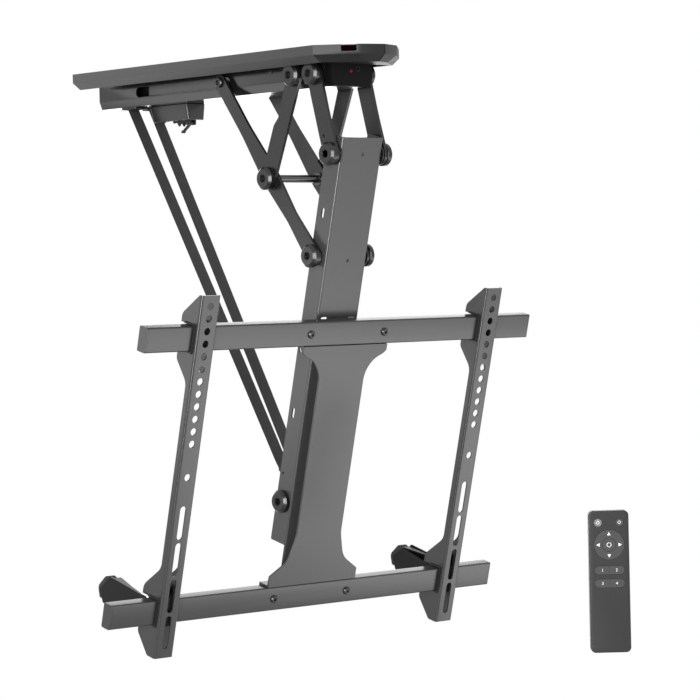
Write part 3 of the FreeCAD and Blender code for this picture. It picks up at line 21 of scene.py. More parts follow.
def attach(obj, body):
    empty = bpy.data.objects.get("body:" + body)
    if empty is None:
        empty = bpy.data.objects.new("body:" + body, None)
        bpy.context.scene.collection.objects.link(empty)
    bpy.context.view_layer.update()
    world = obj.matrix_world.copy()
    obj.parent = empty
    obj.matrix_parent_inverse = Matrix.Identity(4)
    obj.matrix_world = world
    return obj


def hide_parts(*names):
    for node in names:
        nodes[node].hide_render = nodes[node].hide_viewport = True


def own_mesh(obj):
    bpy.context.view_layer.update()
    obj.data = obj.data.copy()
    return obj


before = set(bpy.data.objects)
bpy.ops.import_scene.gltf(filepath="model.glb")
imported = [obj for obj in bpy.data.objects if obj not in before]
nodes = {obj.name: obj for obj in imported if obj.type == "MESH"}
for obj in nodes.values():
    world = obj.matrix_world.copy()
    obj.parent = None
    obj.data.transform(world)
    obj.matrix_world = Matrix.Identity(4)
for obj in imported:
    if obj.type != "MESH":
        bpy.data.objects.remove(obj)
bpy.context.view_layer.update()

# %% [markdown]
# ## Where the viewer stands
#
# The picture was taken with a long lens from about 3.6 m away, with the lens between the height of
# the ceiling plate and that of the upper rail. Right and up below are the picture's own directions,
# and the camera looks along their cross product. A long lens keeps upright edges nearly parallel.

# %% The camera
EYE = (-2.25310, -2.79010, -0.28467)
PICTURE_RIGHT = (0.75181, -0.65896, -0.02462)
PICTURE_UP = (0.03346, 0.00081, 0.99946)
LENS_MM = 146.05
SENSOR_MM = 36
FARTHEST = 60


def make_camera():
    """Camera at EYE whose axes are right, back x right and back, with back = right x up."""
    data = bpy.data.cameras.new("viewer")
    data.lens = LENS_MM
    data.sensor_width = SENSOR_MM
    data.clip_end = FARTHEST
    camera = bpy.data.objects.new("viewer", data)
    bpy.context.scene.collection.objects.link(camera)
    right = Vector(PICTURE_RIGHT).normalized()
    back = right.cross(Vector(PICTURE_UP)).normalized()
    turn = Matrix((right, back.cross(right), back)).transposed().to_4x4()
    camera.matrix_world = Matrix.Translation(EYE) @ turn
    bpy.context.scene.camera = camera


make_camera()
print("the camera is %.2f m from the plate's middle" % Vector(EYE).length)

# %% [markdown]
# ## One grain for every finish
#
# Powder coat, moulded plastic and turned metal all have a fine grain, at different sizes. A painted
# picture of the grain would need unwrapping. A noise in the object's own coordinates needs nothing
# and has a true size in millimetres, so it is used for all of them. The node group below holds it
# once. It gives a shade, which is 1 give or take a few percent, and a relief from 0 to 1.

# %% The grain group
FINE_DETAIL = 3
BROAD_CELLS = 11


def make_grain():
    """Shade = 1 + mottle * (fine noise + broad noise - 1); relief = fine noise."""
    group = bpy.data.node_groups.new("surface_grain", "ShaderNodeTree")
    for name, value in (("Cells per metre", 900), ("Mottle", 0.1)):
        socket = group.interface.new_socket(name, in_out="INPUT", socket_type="NodeSocketFloat")
        socket.default_value = value
    for name in ("Shade", "Relief"):
        group.interface.new_socket(name, in_out="OUTPUT", socket_type="NodeSocketFloat")
    new, link = group.nodes.new, group.links.new
    given, result = new("NodeGroupInput"), new("NodeGroupOutput")
    where = new("ShaderNodeTexCoord")
    fine, broad = new("ShaderNodeTexNoise"), new("ShaderNodeTexNoise")
    fine.inputs["Detail"].default_value = FINE_DETAIL
    broad.inputs["Scale"].default_value = BROAD_CELLS
    for noise in (fine, broad):
        link(where.outputs["Object"], noise.inputs["Vector"])
    link(given.outputs["Cells per metre"], fine.inputs["Scale"])
    total, centred, shade = (new("ShaderNodeMath") for _ in range(3))
    centred.operation = "SUBTRACT"
    centred.inputs[1].default_value = 1
    shade.operation = "MULTIPLY_ADD"
    shade.inputs[2].default_value = 1
    link(fine.outputs["Fac"], total.inputs[0])
    link(broad.outputs["Fac"], total.inputs[1])
    link(total.outputs[0], centred.inputs[0])
    link(centred.outputs[0], shade.inputs[0])
    link(given.outputs["Mottle"], shade.inputs[1])
    link(shade.outputs[0], result.inputs["Shade"])
    link(fine.outputs["Fac"], result.inputs["Relief"])
    return group


GRAIN = make_grain()

# %% [markdown]
# A bend in coated sheet, and the edge of a thick arm, get a painted highlight: a lighter grey and a
# metallic coat there, so that they shine as a fine pale line. All of them run square to the X axis
# here, and their surface turns from facing X to facing away from it. That gives the mask from the
# surface direction alone: with n the x part of the surface direction, 4 n^2 (1 - n^2) is 0 on every
# flat and 1 half way round.

# %% The painted bend highlights
def make_bend_mask():
    """Bend = smooth step of 4 n^2 (1 - n^2), which is 0 up to 1 - width and reaches 1 at 1."""
    group = bpy.data.node_groups.new("painted_bend_highlights", "ShaderNodeTree")
    socket = group.interface.new_socket("Width", in_out="INPUT", socket_type="NodeSocketFloat")
    socket.default_value = 0.3
    group.interface.new_socket("Bend", in_out="OUTPUT", socket_type="NodeSocketFloat")
    new, link = group.nodes.new, group.links.new
    given, result = new("NodeGroupInput"), new("NodeGroupOutput")
    where, parts = new("ShaderNodeTexCoord"), new("ShaderNodeSeparateXYZ")
    square, rest, product, start = (new("ShaderNodeMath") for _ in range(4))
    square.operation = "MULTIPLY"
    rest.operation = "MULTIPLY_ADD"
    rest.inputs[1].default_value = -4
    rest.inputs[2].default_value = 4
    product.operation = "MULTIPLY"
    start.operation = "SUBTRACT"
    start.inputs[0].default_value = 1
    step = new("ShaderNodeMapRange")
    step.interpolation_type = "SMOOTHSTEP"
    link(where.outputs["Normal"], parts.inputs[0])
    link(parts.outputs["X"], square.inputs[0])
    link(parts.outputs["X"], square.inputs[1])
    link(square.outputs[0], rest.inputs[0])
    link(square.outputs[0], product.inputs[0])
    link(rest.outputs[0], product.inputs[1])
    link(given.outputs["Width"], start.inputs[1])
    link(product.outputs[0], step.inputs["Value"])
    link(start.outputs[0], step.inputs["From Min"])
    link(step.outputs["Result"], result.inputs["Bend"])
    return group


BEND_HIGHLIGHT_MASK = make_bend_mask()

# %% [markdown]
# ## Finishes
#
# A finish is a colour, a roughness and the size and depth of its grain. Colours are written as the
# grey level that they should have on a screen, because that is easy to compare with a picture. The
# sheet metal has a fine satin powder coat: dark, with a soft wide sheen where it mirrors a lamp.

# %% The finishes
def srgb(level):
    """Linear value of a screen level from 0 to 255: ((c + 0.055) / 1.055) ** 2.4."""
    c = level / 255
    return c / 12.92 if c <= 0.04045 else ((c + 0.055) / 1.055) ** 2.4


def grey(level):
    """Linear colour of a grey screen level."""
    return (srgb(level),) * 3


def finish(name, colour, rough, metallic=0.0, cells=900, depth=0.00003, mottle=0.1, coat=0.0,
           shine=0.5):
    """A surface of one colour times the grain's shade, with 'depth' metres of relief.

    'cells' is the number of grains in a metre and 'mottle' how far the shade strays from 1.
    'shine' is the strength of the mirrored light: 0.5 is a plain lacquer and 0 has no gloss at all.
    """
    material = bpy.data.materials.new(name)
    material.use_nodes = True
    material.diffuse_color = (*colour, 1)
    tree = material.node_tree
    shader = tree.nodes["Principled BSDF"]
    shader.inputs["Metallic"].default_value = metallic
    shader.inputs["Roughness"].default_value = rough
    shader.inputs["Coat Weight"].default_value = coat
    shader.inputs["Specular IOR Level"].default_value = shine
    grain = tree.nodes.new("ShaderNodeGroup")
    grain.node_tree = GRAIN
    grain.inputs["Cells per metre"].default_value = cells
    grain.inputs["Mottle"].default_value = mottle
    tinted = tree.nodes.new("ShaderNodeVectorMath")
    tinted.operation = "SCALE"
    tinted.inputs[0].default_value = colour
    tree.links.new(grain.outputs["Shade"], tinted.inputs["Scale"])
    tree.links.new(tinted.outputs[0], shader.inputs["Base Color"])
    bump = tree.nodes.new("ShaderNodeBump")
    bump.inputs["Distance"].default_value = depth
    tree.links.new(grain.outputs["Relief"], bump.inputs["Height"])
    tree.links.new(bump.outputs["Normal"], shader.inputs["Normal"])
    return material


# Painted highlight on bends: the width of the bend mask that places it, and its grey.
BEND_WIDTH = 0.2
BEND_HIGHLIGHT_GREY = 74


def paint_bend_highlights(material):
    """Paints a highlight on bends: the colour goes to the highlight grey and the coat turns to
    metal, both by the bend mask.
    """
    tree = material.node_tree
    shader = tree.nodes["Principled BSDF"]
    bends = tree.nodes.new("ShaderNodeGroup")
    bends.node_tree = BEND_HIGHLIGHT_MASK
    bends.inputs["Width"].default_value = BEND_WIDTH
    mix = tree.nodes.new("ShaderNodeMix")
    mix.data_type = "RGBA"
    mix.inputs[7].default_value = (*grey(BEND_HIGHLIGHT_GREY), 1)
    tree.links.new(bends.outputs["Bend"], mix.inputs[0])
    tree.links.new(shader.inputs["Base Color"].links[0].from_socket, mix.inputs[6])
    tree.links.new(mix.outputs[2], shader.inputs["Base Color"])
    tree.links.new(bends.outputs["Bend"], shader.inputs["Metallic"])


COAT = finish("powder_coat", grey(43), 0.24, depth=0.00001)
# Painted light: the mast gets a lighter copy of the same powder coat, to brighten faces that the
# adapter plate in front keeps in shade.
BRIGHTENED_MAST_COAT = finish("brightened_powder_coat_on_mast", grey(62), 0.25, depth=0.00001, shine=0.4)
BOX_COAT = finish("powder_coat_on_box", grey(40), 0.27, depth=0.00001)
PLATE_COAT = finish("powder_coat_on_plate", grey(46), 0.30, depth=0.00001)
CHANNEL_COAT = finish("powder_coat_on_channel", grey(22), 0.17, depth=0.000005)
ARM_COAT = finish("powder_coat_on_arms", grey(27), 0.25, depth=0.00001, shine=0.38)
REST_COAT = finish("powder_coat_on_rests", grey(20), 0.34, depth=0.00001, shine=0.14)
PLASTIC = finish("black_plastic", grey(24), 0.40, cells=1500, depth=0.00002, shine=0.3)
# Painted shade: the end cap gets a darker, almost glossless copy of the black plastic, for its
# front that sits in shade under the cover.
SHADED_CAP_PLASTIC = finish("shaded_black_end_cap", grey(14), 0.45, cells=1500, depth=0.00002, shine=0.08)
SCREW_BLACK = finish("black_screws", grey(24), 0.25, cells=2500, depth=0.00001, mottle=0.05,
                     shine=0.42)
SOCKET_BLACK = finish("black_socket", grey(12), 0.3, cells=2500, depth=0.00001, mottle=0.05,
                      shine=0.3)
GLOSS = finish("gloss_black_rod", grey(20), 0.12, cells=300, depth=0, mottle=0.03, coat=1.0)
ZINC = finish("zinc_plate", grey(84), 0.36, metallic=0.4, cells=240, depth=0.00001, mottle=0.16)
STEEL = finish("turned_steel", grey(185), 0.3, metallic=1.0, cells=2500, depth=0.00001)
NYLON = finish("white_nylon", grey(215), 0.45, cells=1200, depth=0.00001, mottle=0.04)
RUBBER = finish("rubber", grey(44), 0.7, cells=1400, depth=0.00004, shine=0.3)
SHELL = finish("remote_shell", grey(38), 0.36, cells=2200, depth=0.00001, mottle=0.06, shine=0.3)
KEY = finish("rubber_keys", grey(40), 0.5, cells=2200, depth=0.00001, mottle=0.06)
BRIGHT_KEY = finish("bright_key", grey(110), 0.4, cells=2200, depth=0.00001, mottle=0.06)
BATTERY = finish("battery_wrap", grey(120), 0.3, metallic=0.6)
WINDOW = finish("receiver_red", (0.004, 0.0004, 0.0006), 0.15, cells=200, depth=0, mottle=0.02,
                shine=0.0)
LAMP_RED = finish("red_light", (0.2, 0.004, 0.006), 0.3, cells=600, depth=0, shine=0.2)
BOARD = finish("circuit_board", (0.02, 0.12, 0.05), 0.4, cells=700, depth=0.00005, mottle=0.3)
PRINT = finish("white_print", grey(235), 0.5, cells=2500, depth=0, mottle=0.03)
# Painted highlight: these coats get a lighter, metallic line painted on their bends.
for powder in (COAT, BRIGHTENED_MAST_COAT, ARM_COAT):
    paint_bend_highlights(powder)

GLOW_COLOUR = (1, 0.02, 0.02, 1)
GLOW_STRENGTH = 0.06
glow = LAMP_RED.node_tree.nodes["Principled BSDF"]
glow.inputs["Emission Color"].default_value = GLOW_COLOUR
glow.inputs["Emission Strength"].default_value = GLOW_STRENGTH
print("finishes:", len(bpy.data.materials))

# %% [markdown]
# ## Soft edges on the solids
#
# No real edge is perfectly sharp. A bent sheet or a laser-cut arm has a small radius that catches
# the light as a fine bright line, and that line is what makes metal look like metal. The solids
# come as loose triangles, so their points are first welded together and the triangles of a flat
# face are joined into one. Then every edge sharper than 40 degrees gets a narrow bevel, whose
# normals lean into the flat faces beside it.

# %% Weld, bevel and dress each solid
# Each row: the finish, the bevel's width in millimetres and the solids that wear it.
WEARS = [
    (BRIGHTENED_MAST_COAT, 0.9, ["mast_channel"]),
    (COAT, 0.9, ["adapter_plate", "upper_rail", "lower_rail", "left_bracket", "right_bracket"]),
    (BOX_COAT, 0.9, ["switch_box"]),
    (PLATE_COAT, 0.7, ["ceiling_plate"]),
    (CHANNEL_COAT, 0.8, ["drive_channel"]),
    (REST_COAT, 0.6, ["left_rest_arm", "right_rest_arm"]),
    (ARM_COAT, 1.1, ["left_lift_arm", "right_lift_arm", "left_drive_arm", "right_drive_arm",
                     "left_guide_arm", "right_guide_arm"]),
    (PLASTIC, 0.5, ["front_cover_left", "front_cover_right", "strap_guides", "limit_switch",
                    "switch_lever", "left_rail_clips", "right_rail_clips"]),
    (COAT, 0.5, ["rail_end_plugs"]),
    (SHADED_CAP_PLASTIC, 0.5, ["channel_front_cap"]),
    (SCREW_BLACK, 0.35, ["channel_pivot_bolts", "crossing_bolts", "guide_arm_bolts",
                         "mast_pivot_bolts", "strap_shaft_heads", "rail_screws",
                         "channel_pivot_spacers", "carriage_screws"]),
    (GLOSS, 0.3, ["cross_rod"]),
    (ZINC, 0.3, ["inner_guide_rail"]),
    (STEEL, 0.2, ["strap_drum", "strap_shaft"]),
    (SOCKET_BLACK, 0.1, ["control_socket"]),
    (PLASTIC, 0.2, ["drive_motor", "gearbox"]),
    (NYLON, 0.4, ["carriage"]),
    (RUBBER, 0.6, ["left_rest_bumper", "right_rest_bumper", "mast_pads"]),
    (SHELL, 0.0, ["remote_front_shell", "remote_back_shell", "battery_door"]),
    (KEY, 0.15, ["source_button", "direction_ring", "ok_button", "number_key", "memory_key"]),
    (BRIGHT_KEY, 0.3, ["power_button"]),
    (BATTERY, 0.0, ["remote_batteries"]),
    (WINDOW, 0.2, ["receiver_window"]),
    (LAMP_RED, 0.0, ["power_light"]),
    (BOARD, 0.0, ["control_board", "remote_board"]),
]
WELD_DISTANCE = 1e-6
SMOOTH_UP_TO = math.radians(32)
FLAT_WITHIN = math.radians(0.6)
SHARP_OVER = math.radians(40)


def make_smoother():
    """Merge points closer than a micron, then shade smooth but for edges over SMOOTH_UP_TO."""
    group = bpy.data.node_groups.new("weld_and_smooth", "GeometryNodeTree")
    group.interface.new_socket("Geometry", in_out="INPUT", socket_type="NodeSocketGeometry")
    group.interface.new_socket("Geometry", in_out="OUTPUT", socket_type="NodeSocketGeometry")
    new, link = group.nodes.new, group.links.new
    given, result = new("NodeGroupInput"), new("NodeGroupOutput")
    weld = new("GeometryNodeMergeByDistance")
    weld.inputs["Distance"].default_value = WELD_DISTANCE
    faces, edges = new("GeometryNodeSetShadeSmooth"), new("GeometryNodeSetShadeSmooth")
    edges.domain = "EDGE"
    edges.inputs["Shade Smooth"].default_value = False
    angle, sharp = new("GeometryNodeInputMeshEdgeAngle"), new("FunctionNodeCompare")
    sharp.inputs[1].default_value = SMOOTH_UP_TO
    link(given.outputs[0], weld.inputs["Geometry"])
    link(weld.outputs["Geometry"], faces.inputs["Geometry"])
    link(faces.outputs["Geometry"], edges.inputs["Geometry"])
    link(angle.outputs["Unsigned Angle"], sharp.inputs[0])
    link(sharp.outputs[0], edges.inputs["Selection"])
    link(edges.outputs["Geometry"], result.inputs[0])
    return group


SMOOTHER = make_smoother()


def soften(obj, millimetres):
    """Welds and smooths a solid and bevels its sharp edges by a width given in millimetres."""
    obj.modifiers.new("weld", "NODES").node_group = SMOOTHER
    if millimetres:
        flat = obj.modifiers.new("join", "DECIMATE")
        flat.decimate_type = "DISSOLVE"
        flat.angle_limit = FLAT_WITHIN
        bevel = obj.modifiers.new("edge", "BEVEL")
        bevel.width = millimetres / 1000
        bevel.segments = 2
        bevel.limit_method = "ANGLE"
        bevel.angle_limit = SHARP_OVER
        bevel.harden_normals = True


def dress():
    """Gives every solid its finish and edges; new straps stand in for the solid ones further on."""
    dressed = {"lift_straps"}
    for material, edge, members in WEARS:
        for member in members:
            obj = nodes[member]
            obj.data.materials.clear()
            obj.data.materials.append(material)
            soften(obj, edge)
            dressed.add(member)
    print("solids without a finish:", sorted(set(nodes) - dressed))


dress()

# %% [markdown]
# ## Surfaces from a grid
#
# The new pieces are computed. A grid of points, rows by columns, is one array, and neighbouring
# points are joined by four-sided faces. The columns close round on themselves, as round a strap or
# a screw, and each end row gets one flat face, so every piece is watertight.

# %% The grid helper
def grid_piece(name, points, material, body, uv=None, ends=True):
    """Face (i, j) joins points (i, j), (i, j+1), (i+1, j+1), (i+1, j), with j+1 round the ring.

    Without ends the rows close on themselves too, as in a flat ring.
    """
    rows, columns = points.shape[:2]
    i = np.arange(rows - 1 if ends else rows)[:, None]
    j = np.arange(columns)[None, :]
    below = (i + 1) % rows
    beside = (j + 1) % columns
    quads = np.stack([i * columns + j, i * columns + beside,
                      below * columns + beside, below * columns + j], -1)
    faces = quads.reshape(-1, 4).tolist()
    if ends:
        faces += [list(range(columns))[::-1], list(range((rows - 1) * columns, rows * columns))]
    mesh = bpy.data.meshes.new(name)
    mesh.from_pydata(points.reshape(-1, 3).tolist(), [], faces)
    if uv is not None:
        corners = np.zeros(len(mesh.loops), int)
        mesh.loops.foreach_get("vertex_index", corners)
        mesh.uv_layers.new(name="UVMap").data.foreach_set("uv", uv.reshape(-1, 2)[corners].ravel())
    turned = bmesh.new()
    turned.from_mesh(mesh)
    bmesh.ops.recalc_face_normals(turned, faces=turned.faces)
    turned.to_mesh(mesh)
    turned.free()
    mesh.materials.append(material)
    piece = bpy.data.objects.new(name, mesh)
    bpy.context.scene.collection.objects.link(piece)
    soften(piece, 0)
    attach(piece, body)
    return piece


# %% [markdown]
# ## Two woven straps
#
# The motor lowers the mast with two flat straps. Each leaves the drum, runs straight to the shaft
# at the mast's foot, turns half round it and is stitched back on itself. A strap is flat webbing,
# so it is a section carried along a path, and no cloth is simulated: tension keeps it straight.
# The two straps start 35 mm apart and lie side by side on the shaft.

# %% The strap's path
DRUM_SIDE = np.array([0.19954, -0.01773])
SHAFT = np.array([-0.1220, -0.5464])
SHAFT_RADIUS = 0.005
STRAP_WIDTH = 0.0175
STRAP_THICK = 0.0014
STRAP_TOP_X = 0.0174
STRAP_FOOT_X = 0.009
SEWN_LENGTH = 0.045
EASE_LENGTH = 0.06
EASE_STEP = 0.002
SHAFT_GAP = 0.0003
SEWN_LAYER = 1.05 * STRAP_THICK
CLOSING_RATE = 2.2
EDGE_POWER = 0.25
FACE_POWER = 0.6

run = SHAFT - DRUM_SIDE
RUN_LENGTH = float(np.hypot(*run))
ALONG = run / RUN_LENGTH
FRONT = np.array([ALONG[1], -ALONG[0]])


def strap_path():
    """(y, z) points: a straight run that eases out to the shaft's front, half a turn, the sewn end.

    With s along the run and h across it, the run is h = reach * ease(s), the turn is
    (h, s) = reach * (cos t, sin t) round the shaft, and the end closes up to lie on the run's
    back, a SEWN_LAYER away. Here ease(s) is a smooth step over the last EASE_LENGTH.
    """
    reach = SHAFT_RADIUS + STRAP_THICK / 2 + SHAFT_GAP
    start = RUN_LENGTH - EASE_LENGTH
    s = np.concatenate([np.linspace(0, start, 40), np.linspace(start + EASE_STEP, RUN_LENGTH, 24)])
    step = np.clip((s - start) / EASE_LENGTH, 0, 1)
    ease = step * step * (3 - 2 * step)
    t = np.linspace(0, math.pi, 20)[1:]
    back = np.linspace(0, 1, 22)[1:]
    close = np.clip(1 - back * CLOSING_RATE, 0, 1) ** 2
    sewn = RUN_LENGTH - back * SEWN_LENGTH
    under = np.interp(sewn, s, reach * ease) - SEWN_LAYER
    along = np.concatenate([s, RUN_LENGTH + reach * np.sin(t), sewn])
    across = np.concatenate([reach * ease, reach * np.cos(t), -reach * close + under * (1 - close)])
    return DRUM_SIDE + along[:, None] * ALONG + across[:, None] * FRONT


path = strap_path()
print("strap from drum to shaft: %.0f mm" % (1000 * RUN_LENGTH))

# %% [markdown]
# The weave follows the strap, so it reads the strap's own map: u runs across the width and v along
# the strap, both in strap widths. Lifting webbing has fine ribs along it and threads across it at
# every millimetre or so. Two waves multiplied give both, as colour and as relief.

# %% The webbing
WAVE_DISTORTION = 0.25
SHEEN = 0.12
GROOVE_GREY = 20
THREAD_GREY = 46
WEAVE_DEPTH = 0.0002


def make_weave():
    """Weave = rib wave across the strap times pick wave along it."""
    group = bpy.data.node_groups.new("strap_weave", "ShaderNodeTree")
    for name, value in (("Ribs", 3.8), ("Picks", 3.6)):
        socket = group.interface.new_socket(name, in_out="INPUT", socket_type="NodeSocketFloat")
        socket.default_value = value
    group.interface.new_socket("Weave", in_out="OUTPUT", socket_type="NodeSocketFloat")
    new, link = group.nodes.new, group.links.new
    given, result = new("NodeGroupInput"), new("NodeGroupOutput")
    where = new("ShaderNodeTexCoord")
    ribs, picks, both = new("ShaderNodeTexWave"), new("ShaderNodeTexWave"), new("ShaderNodeMath")
    ribs.bands_direction, picks.bands_direction = "X", "Y"
    both.operation = "MULTIPLY"
    for wave, count in ((ribs, "Ribs"), (picks, "Picks")):
        wave.inputs["Distortion"].default_value = WAVE_DISTORTION
        link(where.outputs["UV"], wave.inputs["Vector"])
        link(given.outputs[count], wave.inputs["Scale"])
    link(ribs.outputs["Fac"], both.inputs[0])
    link(picks.outputs["Fac"], both.inputs[1])
    link(both.outputs[0], result.inputs["Weave"])
    return group


def make_webbing():
    """Dark webbing: colour = mix(groove, thread, weave), relief = WEAVE_DEPTH * weave."""
    material = finish("woven_strap", grey(30), 0.78, cells=1800, mottle=0.2)
    tree = material.node_tree
    shader, bump = tree.nodes["Principled BSDF"], tree.nodes["Bump"]
    shader.inputs["Sheen Weight"].default_value = SHEEN
    weave = tree.nodes.new("ShaderNodeGroup")
    weave.node_tree = make_weave()
    threads = tree.nodes.new("ShaderNodeMix")
    threads.data_type = "RGBA"
    threads.inputs[6].default_value = (*grey(GROOVE_GREY), 1)
    threads.inputs[7].default_value = (*grey(THREAD_GREY), 1)
    tree.links.new(weave.outputs["Weave"], threads.inputs[0])
    tree.links.new(threads.outputs[2], shader.inputs["Base Color"])
    bump.inputs["Distance"].default_value = WEAVE_DEPTH
    tree.links.new(weave.outputs["Weave"], bump.inputs["Height"])
    return material


WEBBING = make_webbing()

# %% [markdown]
# The section is a thin rectangle with rounded edges. At each point of the path it stands square to
# the path's direction. When the mount folds, the motor winds the strap in, and the visible strap
# gets shorter towards the drum.

# %% The straps
def superellipse(values, half, power):
    """half * sign(v) * |v|^power: a low power squares the round off."""
    return half * np.sign(values) * np.abs(values) ** power


def make_strap(name, side):
    """Point (i, j) = path(i) + a(j) * x axis + b(j) * normal(i), with (a, b) the section's outline.

    The strap's middle goes evenly from STRAP_TOP_X at the drum to STRAP_FOOT_X at the shaft.
    """
    t = np.linspace(0, 2 * math.pi, 24, endpoint=False)
    a = superellipse(np.cos(t), STRAP_WIDTH / 2, EDGE_POWER)
    b = superellipse(np.sin(t), STRAP_THICK / 2, FACE_POWER)
    ahead = np.gradient(path, axis=0)
    ahead /= np.linalg.norm(ahead, axis=1)[:, None]
    normal = np.stack([ahead[:, 1], -ahead[:, 0]], -1)
    share = np.clip((path - DRUM_SIDE) @ ALONG / RUN_LENGTH, 0, 1)
    middle = side * (STRAP_TOP_X + (STRAP_FOOT_X - STRAP_TOP_X) * share)
    points = np.empty((len(path), len(t), 3))
    points[..., 0] = middle[:, None] + a
    points[..., 1:] = path[:, None] + b[:, None] * normal[:, None]
    length = np.concatenate([[0], np.cumsum(np.linalg.norm(np.diff(path, axis=0), axis=1))])
    uv = np.empty((len(path), len(t), 2))
    uv[..., 0] = a / STRAP_WIDTH + 0.5
    uv[..., 1] = length[:, None] / STRAP_WIDTH
    strap = grid_piece(name, points, WEBBING, "strap_body", uv)
    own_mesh(strap)
    print(name, "cut length %.0f mm" % (1000 * length[-1]))
    return strap


left_strap = make_strap("left_strap", -1)
right_strap = make_strap("right_strap", 1)
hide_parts("lift_straps")

# %% [markdown]
# ## Small screws in the channel's sides
#
# One small screw with a domed head sits high in each side of the drive channel. It is a turned
# form, so it is a profile carried round an axis.

# %% The two screws
def turned(name, profile, centre, axis, material, body):
    """Point (i, k) = centre + along(i) * axis + radius(i) * (cos t(k), sin t(k)), t round the axis.

    The axis is a level direction of length 1.
    """
    profile = np.array(profile)
    axis = np.array(axis, float)
    across = np.cross(axis, [0, 0, 1])
    third = np.cross(axis, across)
    t = np.linspace(0, 2 * math.pi, 32, endpoint=False)
    ring = np.cos(t)[:, None] * across + np.sin(t)[:, None] * third
    points = np.array(centre) + profile[:, :1, None] * axis + profile[:, 1:, None] * ring
    return grid_piece(name, points, material, body)


# (out of the wall, radius) from the wall to the bottom of the drive hole
SIDE_SCREW = [(0.00005, 0.0030), (0.0007, 0.0030), (0.0013, 0.0026), (0.0016, 0.0018),
              (0.0016, 0.0010), (0.0009, 0.0009), (0.0009, 0.0001)]
SCREW_X, SCREW_Y, SCREW_Z = 0.032, -0.1192, -0.0209
for name, side in (("left_side_screw", -1), ("right_side_screw", 1)):
    turned(name, SIDE_SCREW, (side * SCREW_X, SCREW_Y, SCREW_Z), (side, 0, 0), SCREW_BLACK,
           "ceiling_unit")

# %% [markdown]
# ## Marks on the keys
#
# The remote control stands by itself, turned about the upright. Its keys carry white marks: four
# arrows on the ring, a small ring on the middle key and plain numbers on the long keys. A mark is
# 0.04 mm of paint, so it is a very thin plate that starts just above its key and rides with it. The
# remote control has its own frame: x to its right, z up it, and its front faces -y.

# %% The remote control's own frame
REMOTE = Matrix.Translation((0.2245, -0.4236, -0.648)) @ Matrix.Rotation(math.radians(-41), 4, "Z")
KEY_FACE = -0.0083
MIDDLE_KEY_FACE = KEY_FACE - 0.0002
PAINT = 0.00004
GAP = 0.00001


def on_remote(points):
    """Frame point = rotation * remote point + place, for an array of remote points."""
    turn = np.array(REMOTE)
    return points @ turn[:3, :3].T + turn[:3, 3]


def plate_mark(name, corners, body):
    """A thin plate: the outline's (x, z) corners at the key's face and again one depth ahead."""
    corners = np.array(corners, float)
    points = np.empty((2, len(corners), 3))
    points[..., 0] = corners[:, 0]
    points[..., 2] = corners[:, 1]
    points[..., 1] = np.array([KEY_FACE - GAP, KEY_FACE - PAINT])[:, None]
    grid_piece(name, on_remote(points), PRINT, body)


def ring_mark(name, x, z, radius, width, body, face=KEY_FACE):
    """A flat ring: a small rectangle (radius, depth) carried round the middle of a key."""
    t = np.linspace(0, 2 * math.pi, 48, endpoint=False)
    outer = radius + width
    outline = np.array([(radius, -GAP), (outer, -GAP), (outer, -PAINT), (radius, -PAINT)])
    points = np.empty((4, len(t), 3))
    points[..., 0] = x + outline[:, :1] * np.cos(t)
    points[..., 2] = z + outline[:, :1] * np.sin(t)
    points[..., 1] = face + outline[:, 1:]
    grid_piece(name, on_remote(points), PRINT, body, ends=False)


# %% [markdown]
# The four arrows are one outline, turned by quarters about the ring's middle to point outwards.

# %% The arrows, rings and numbers
RING_Z = 0.0446
ARROW_OUT = 0.0131
DIGIT_HEIGHT = 0.0036
DIGIT_SHARE = 0.7
DIGIT_X = 0.0085
UPPER_ROW, LOWER_ROW = 0.0139, -0.0019
ROUND_KEY_X, ROUND_KEY_Z = 0.0129, 0.0714
ARROW = np.array([(-0.0021, -0.0017), (0.0021, -0.0017), (0, 0.0021)])
for name, quarter in (("up_arrow", 0), ("left_arrow", 1), ("down_arrow", 2), ("right_arrow", 3)):
    angle = quarter * math.pi / 2
    turn = np.array([(math.cos(angle), math.sin(angle)), (-math.sin(angle), math.cos(angle))])
    plate_mark(name, (ARROW + (0, ARROW_OUT)) @ turn + (0, RING_Z), "direction_ring_body")
ring_mark("middle_mark", 0, RING_Z, 0.0022, 0.0006, "ok_button_body", MIDDLE_KEY_FACE)


def number_mark(name, text, x, z, body):
    """A digit from the built-in font, made a mesh and then laid on the key.

    A digit takes up DIGIT_SHARE of the font's size, so size = DIGIT_HEIGHT / DIGIT_SHARE.
    """
    curve = bpy.data.curves.new(name, "FONT")
    curve.body = text
    curve.size = DIGIT_HEIGHT / DIGIT_SHARE
    curve.align_x = "CENTER"
    curve.align_y = "CENTER"
    curve.extrude = PAINT / 2
    writing = bpy.data.objects.new(name + "_curve", curve)
    bpy.context.scene.collection.objects.link(writing)
    bpy.context.view_layer.update()
    graph = bpy.context.evaluated_depsgraph_get()
    mesh = bpy.data.meshes.new_from_object(writing.evaluated_get(graph))
    bpy.data.objects.remove(writing)
    place = Matrix.Translation((x, KEY_FACE - PAINT / 2 - GAP, z))
    mesh.transform(REMOTE @ place @ Matrix.Rotation(math.pi / 2, 4, "X"))
    mesh.materials.clear()
    mesh.materials.append(PRINT)
    mark = bpy.data.objects.new(name, mesh)
    bpy.context.scene.collection.objects.link(mark)
    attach(mark, body)


for text, x, z, body in (("1", -DIGIT_X, UPPER_ROW, "number_key_body"),
                         ("2", DIGIT_X, UPPER_ROW, "number_key_body"),
                         ("3", -DIGIT_X, LOWER_ROW, "memory_key_body"),
                         ("4", DIGIT_X, LOWER_ROW, "memory_key_body")):
    number_mark("number_" + text, text, x, z, body)
ring_mark("source_mark", ROUND_KEY_X, ROUND_KEY_Z, 0.0014, 0.0005, "source_button_body")
ring_mark("power_mark", -ROUND_KEY_X, ROUND_KEY_Z, 0.0014, 0.0005, "power_button_body")
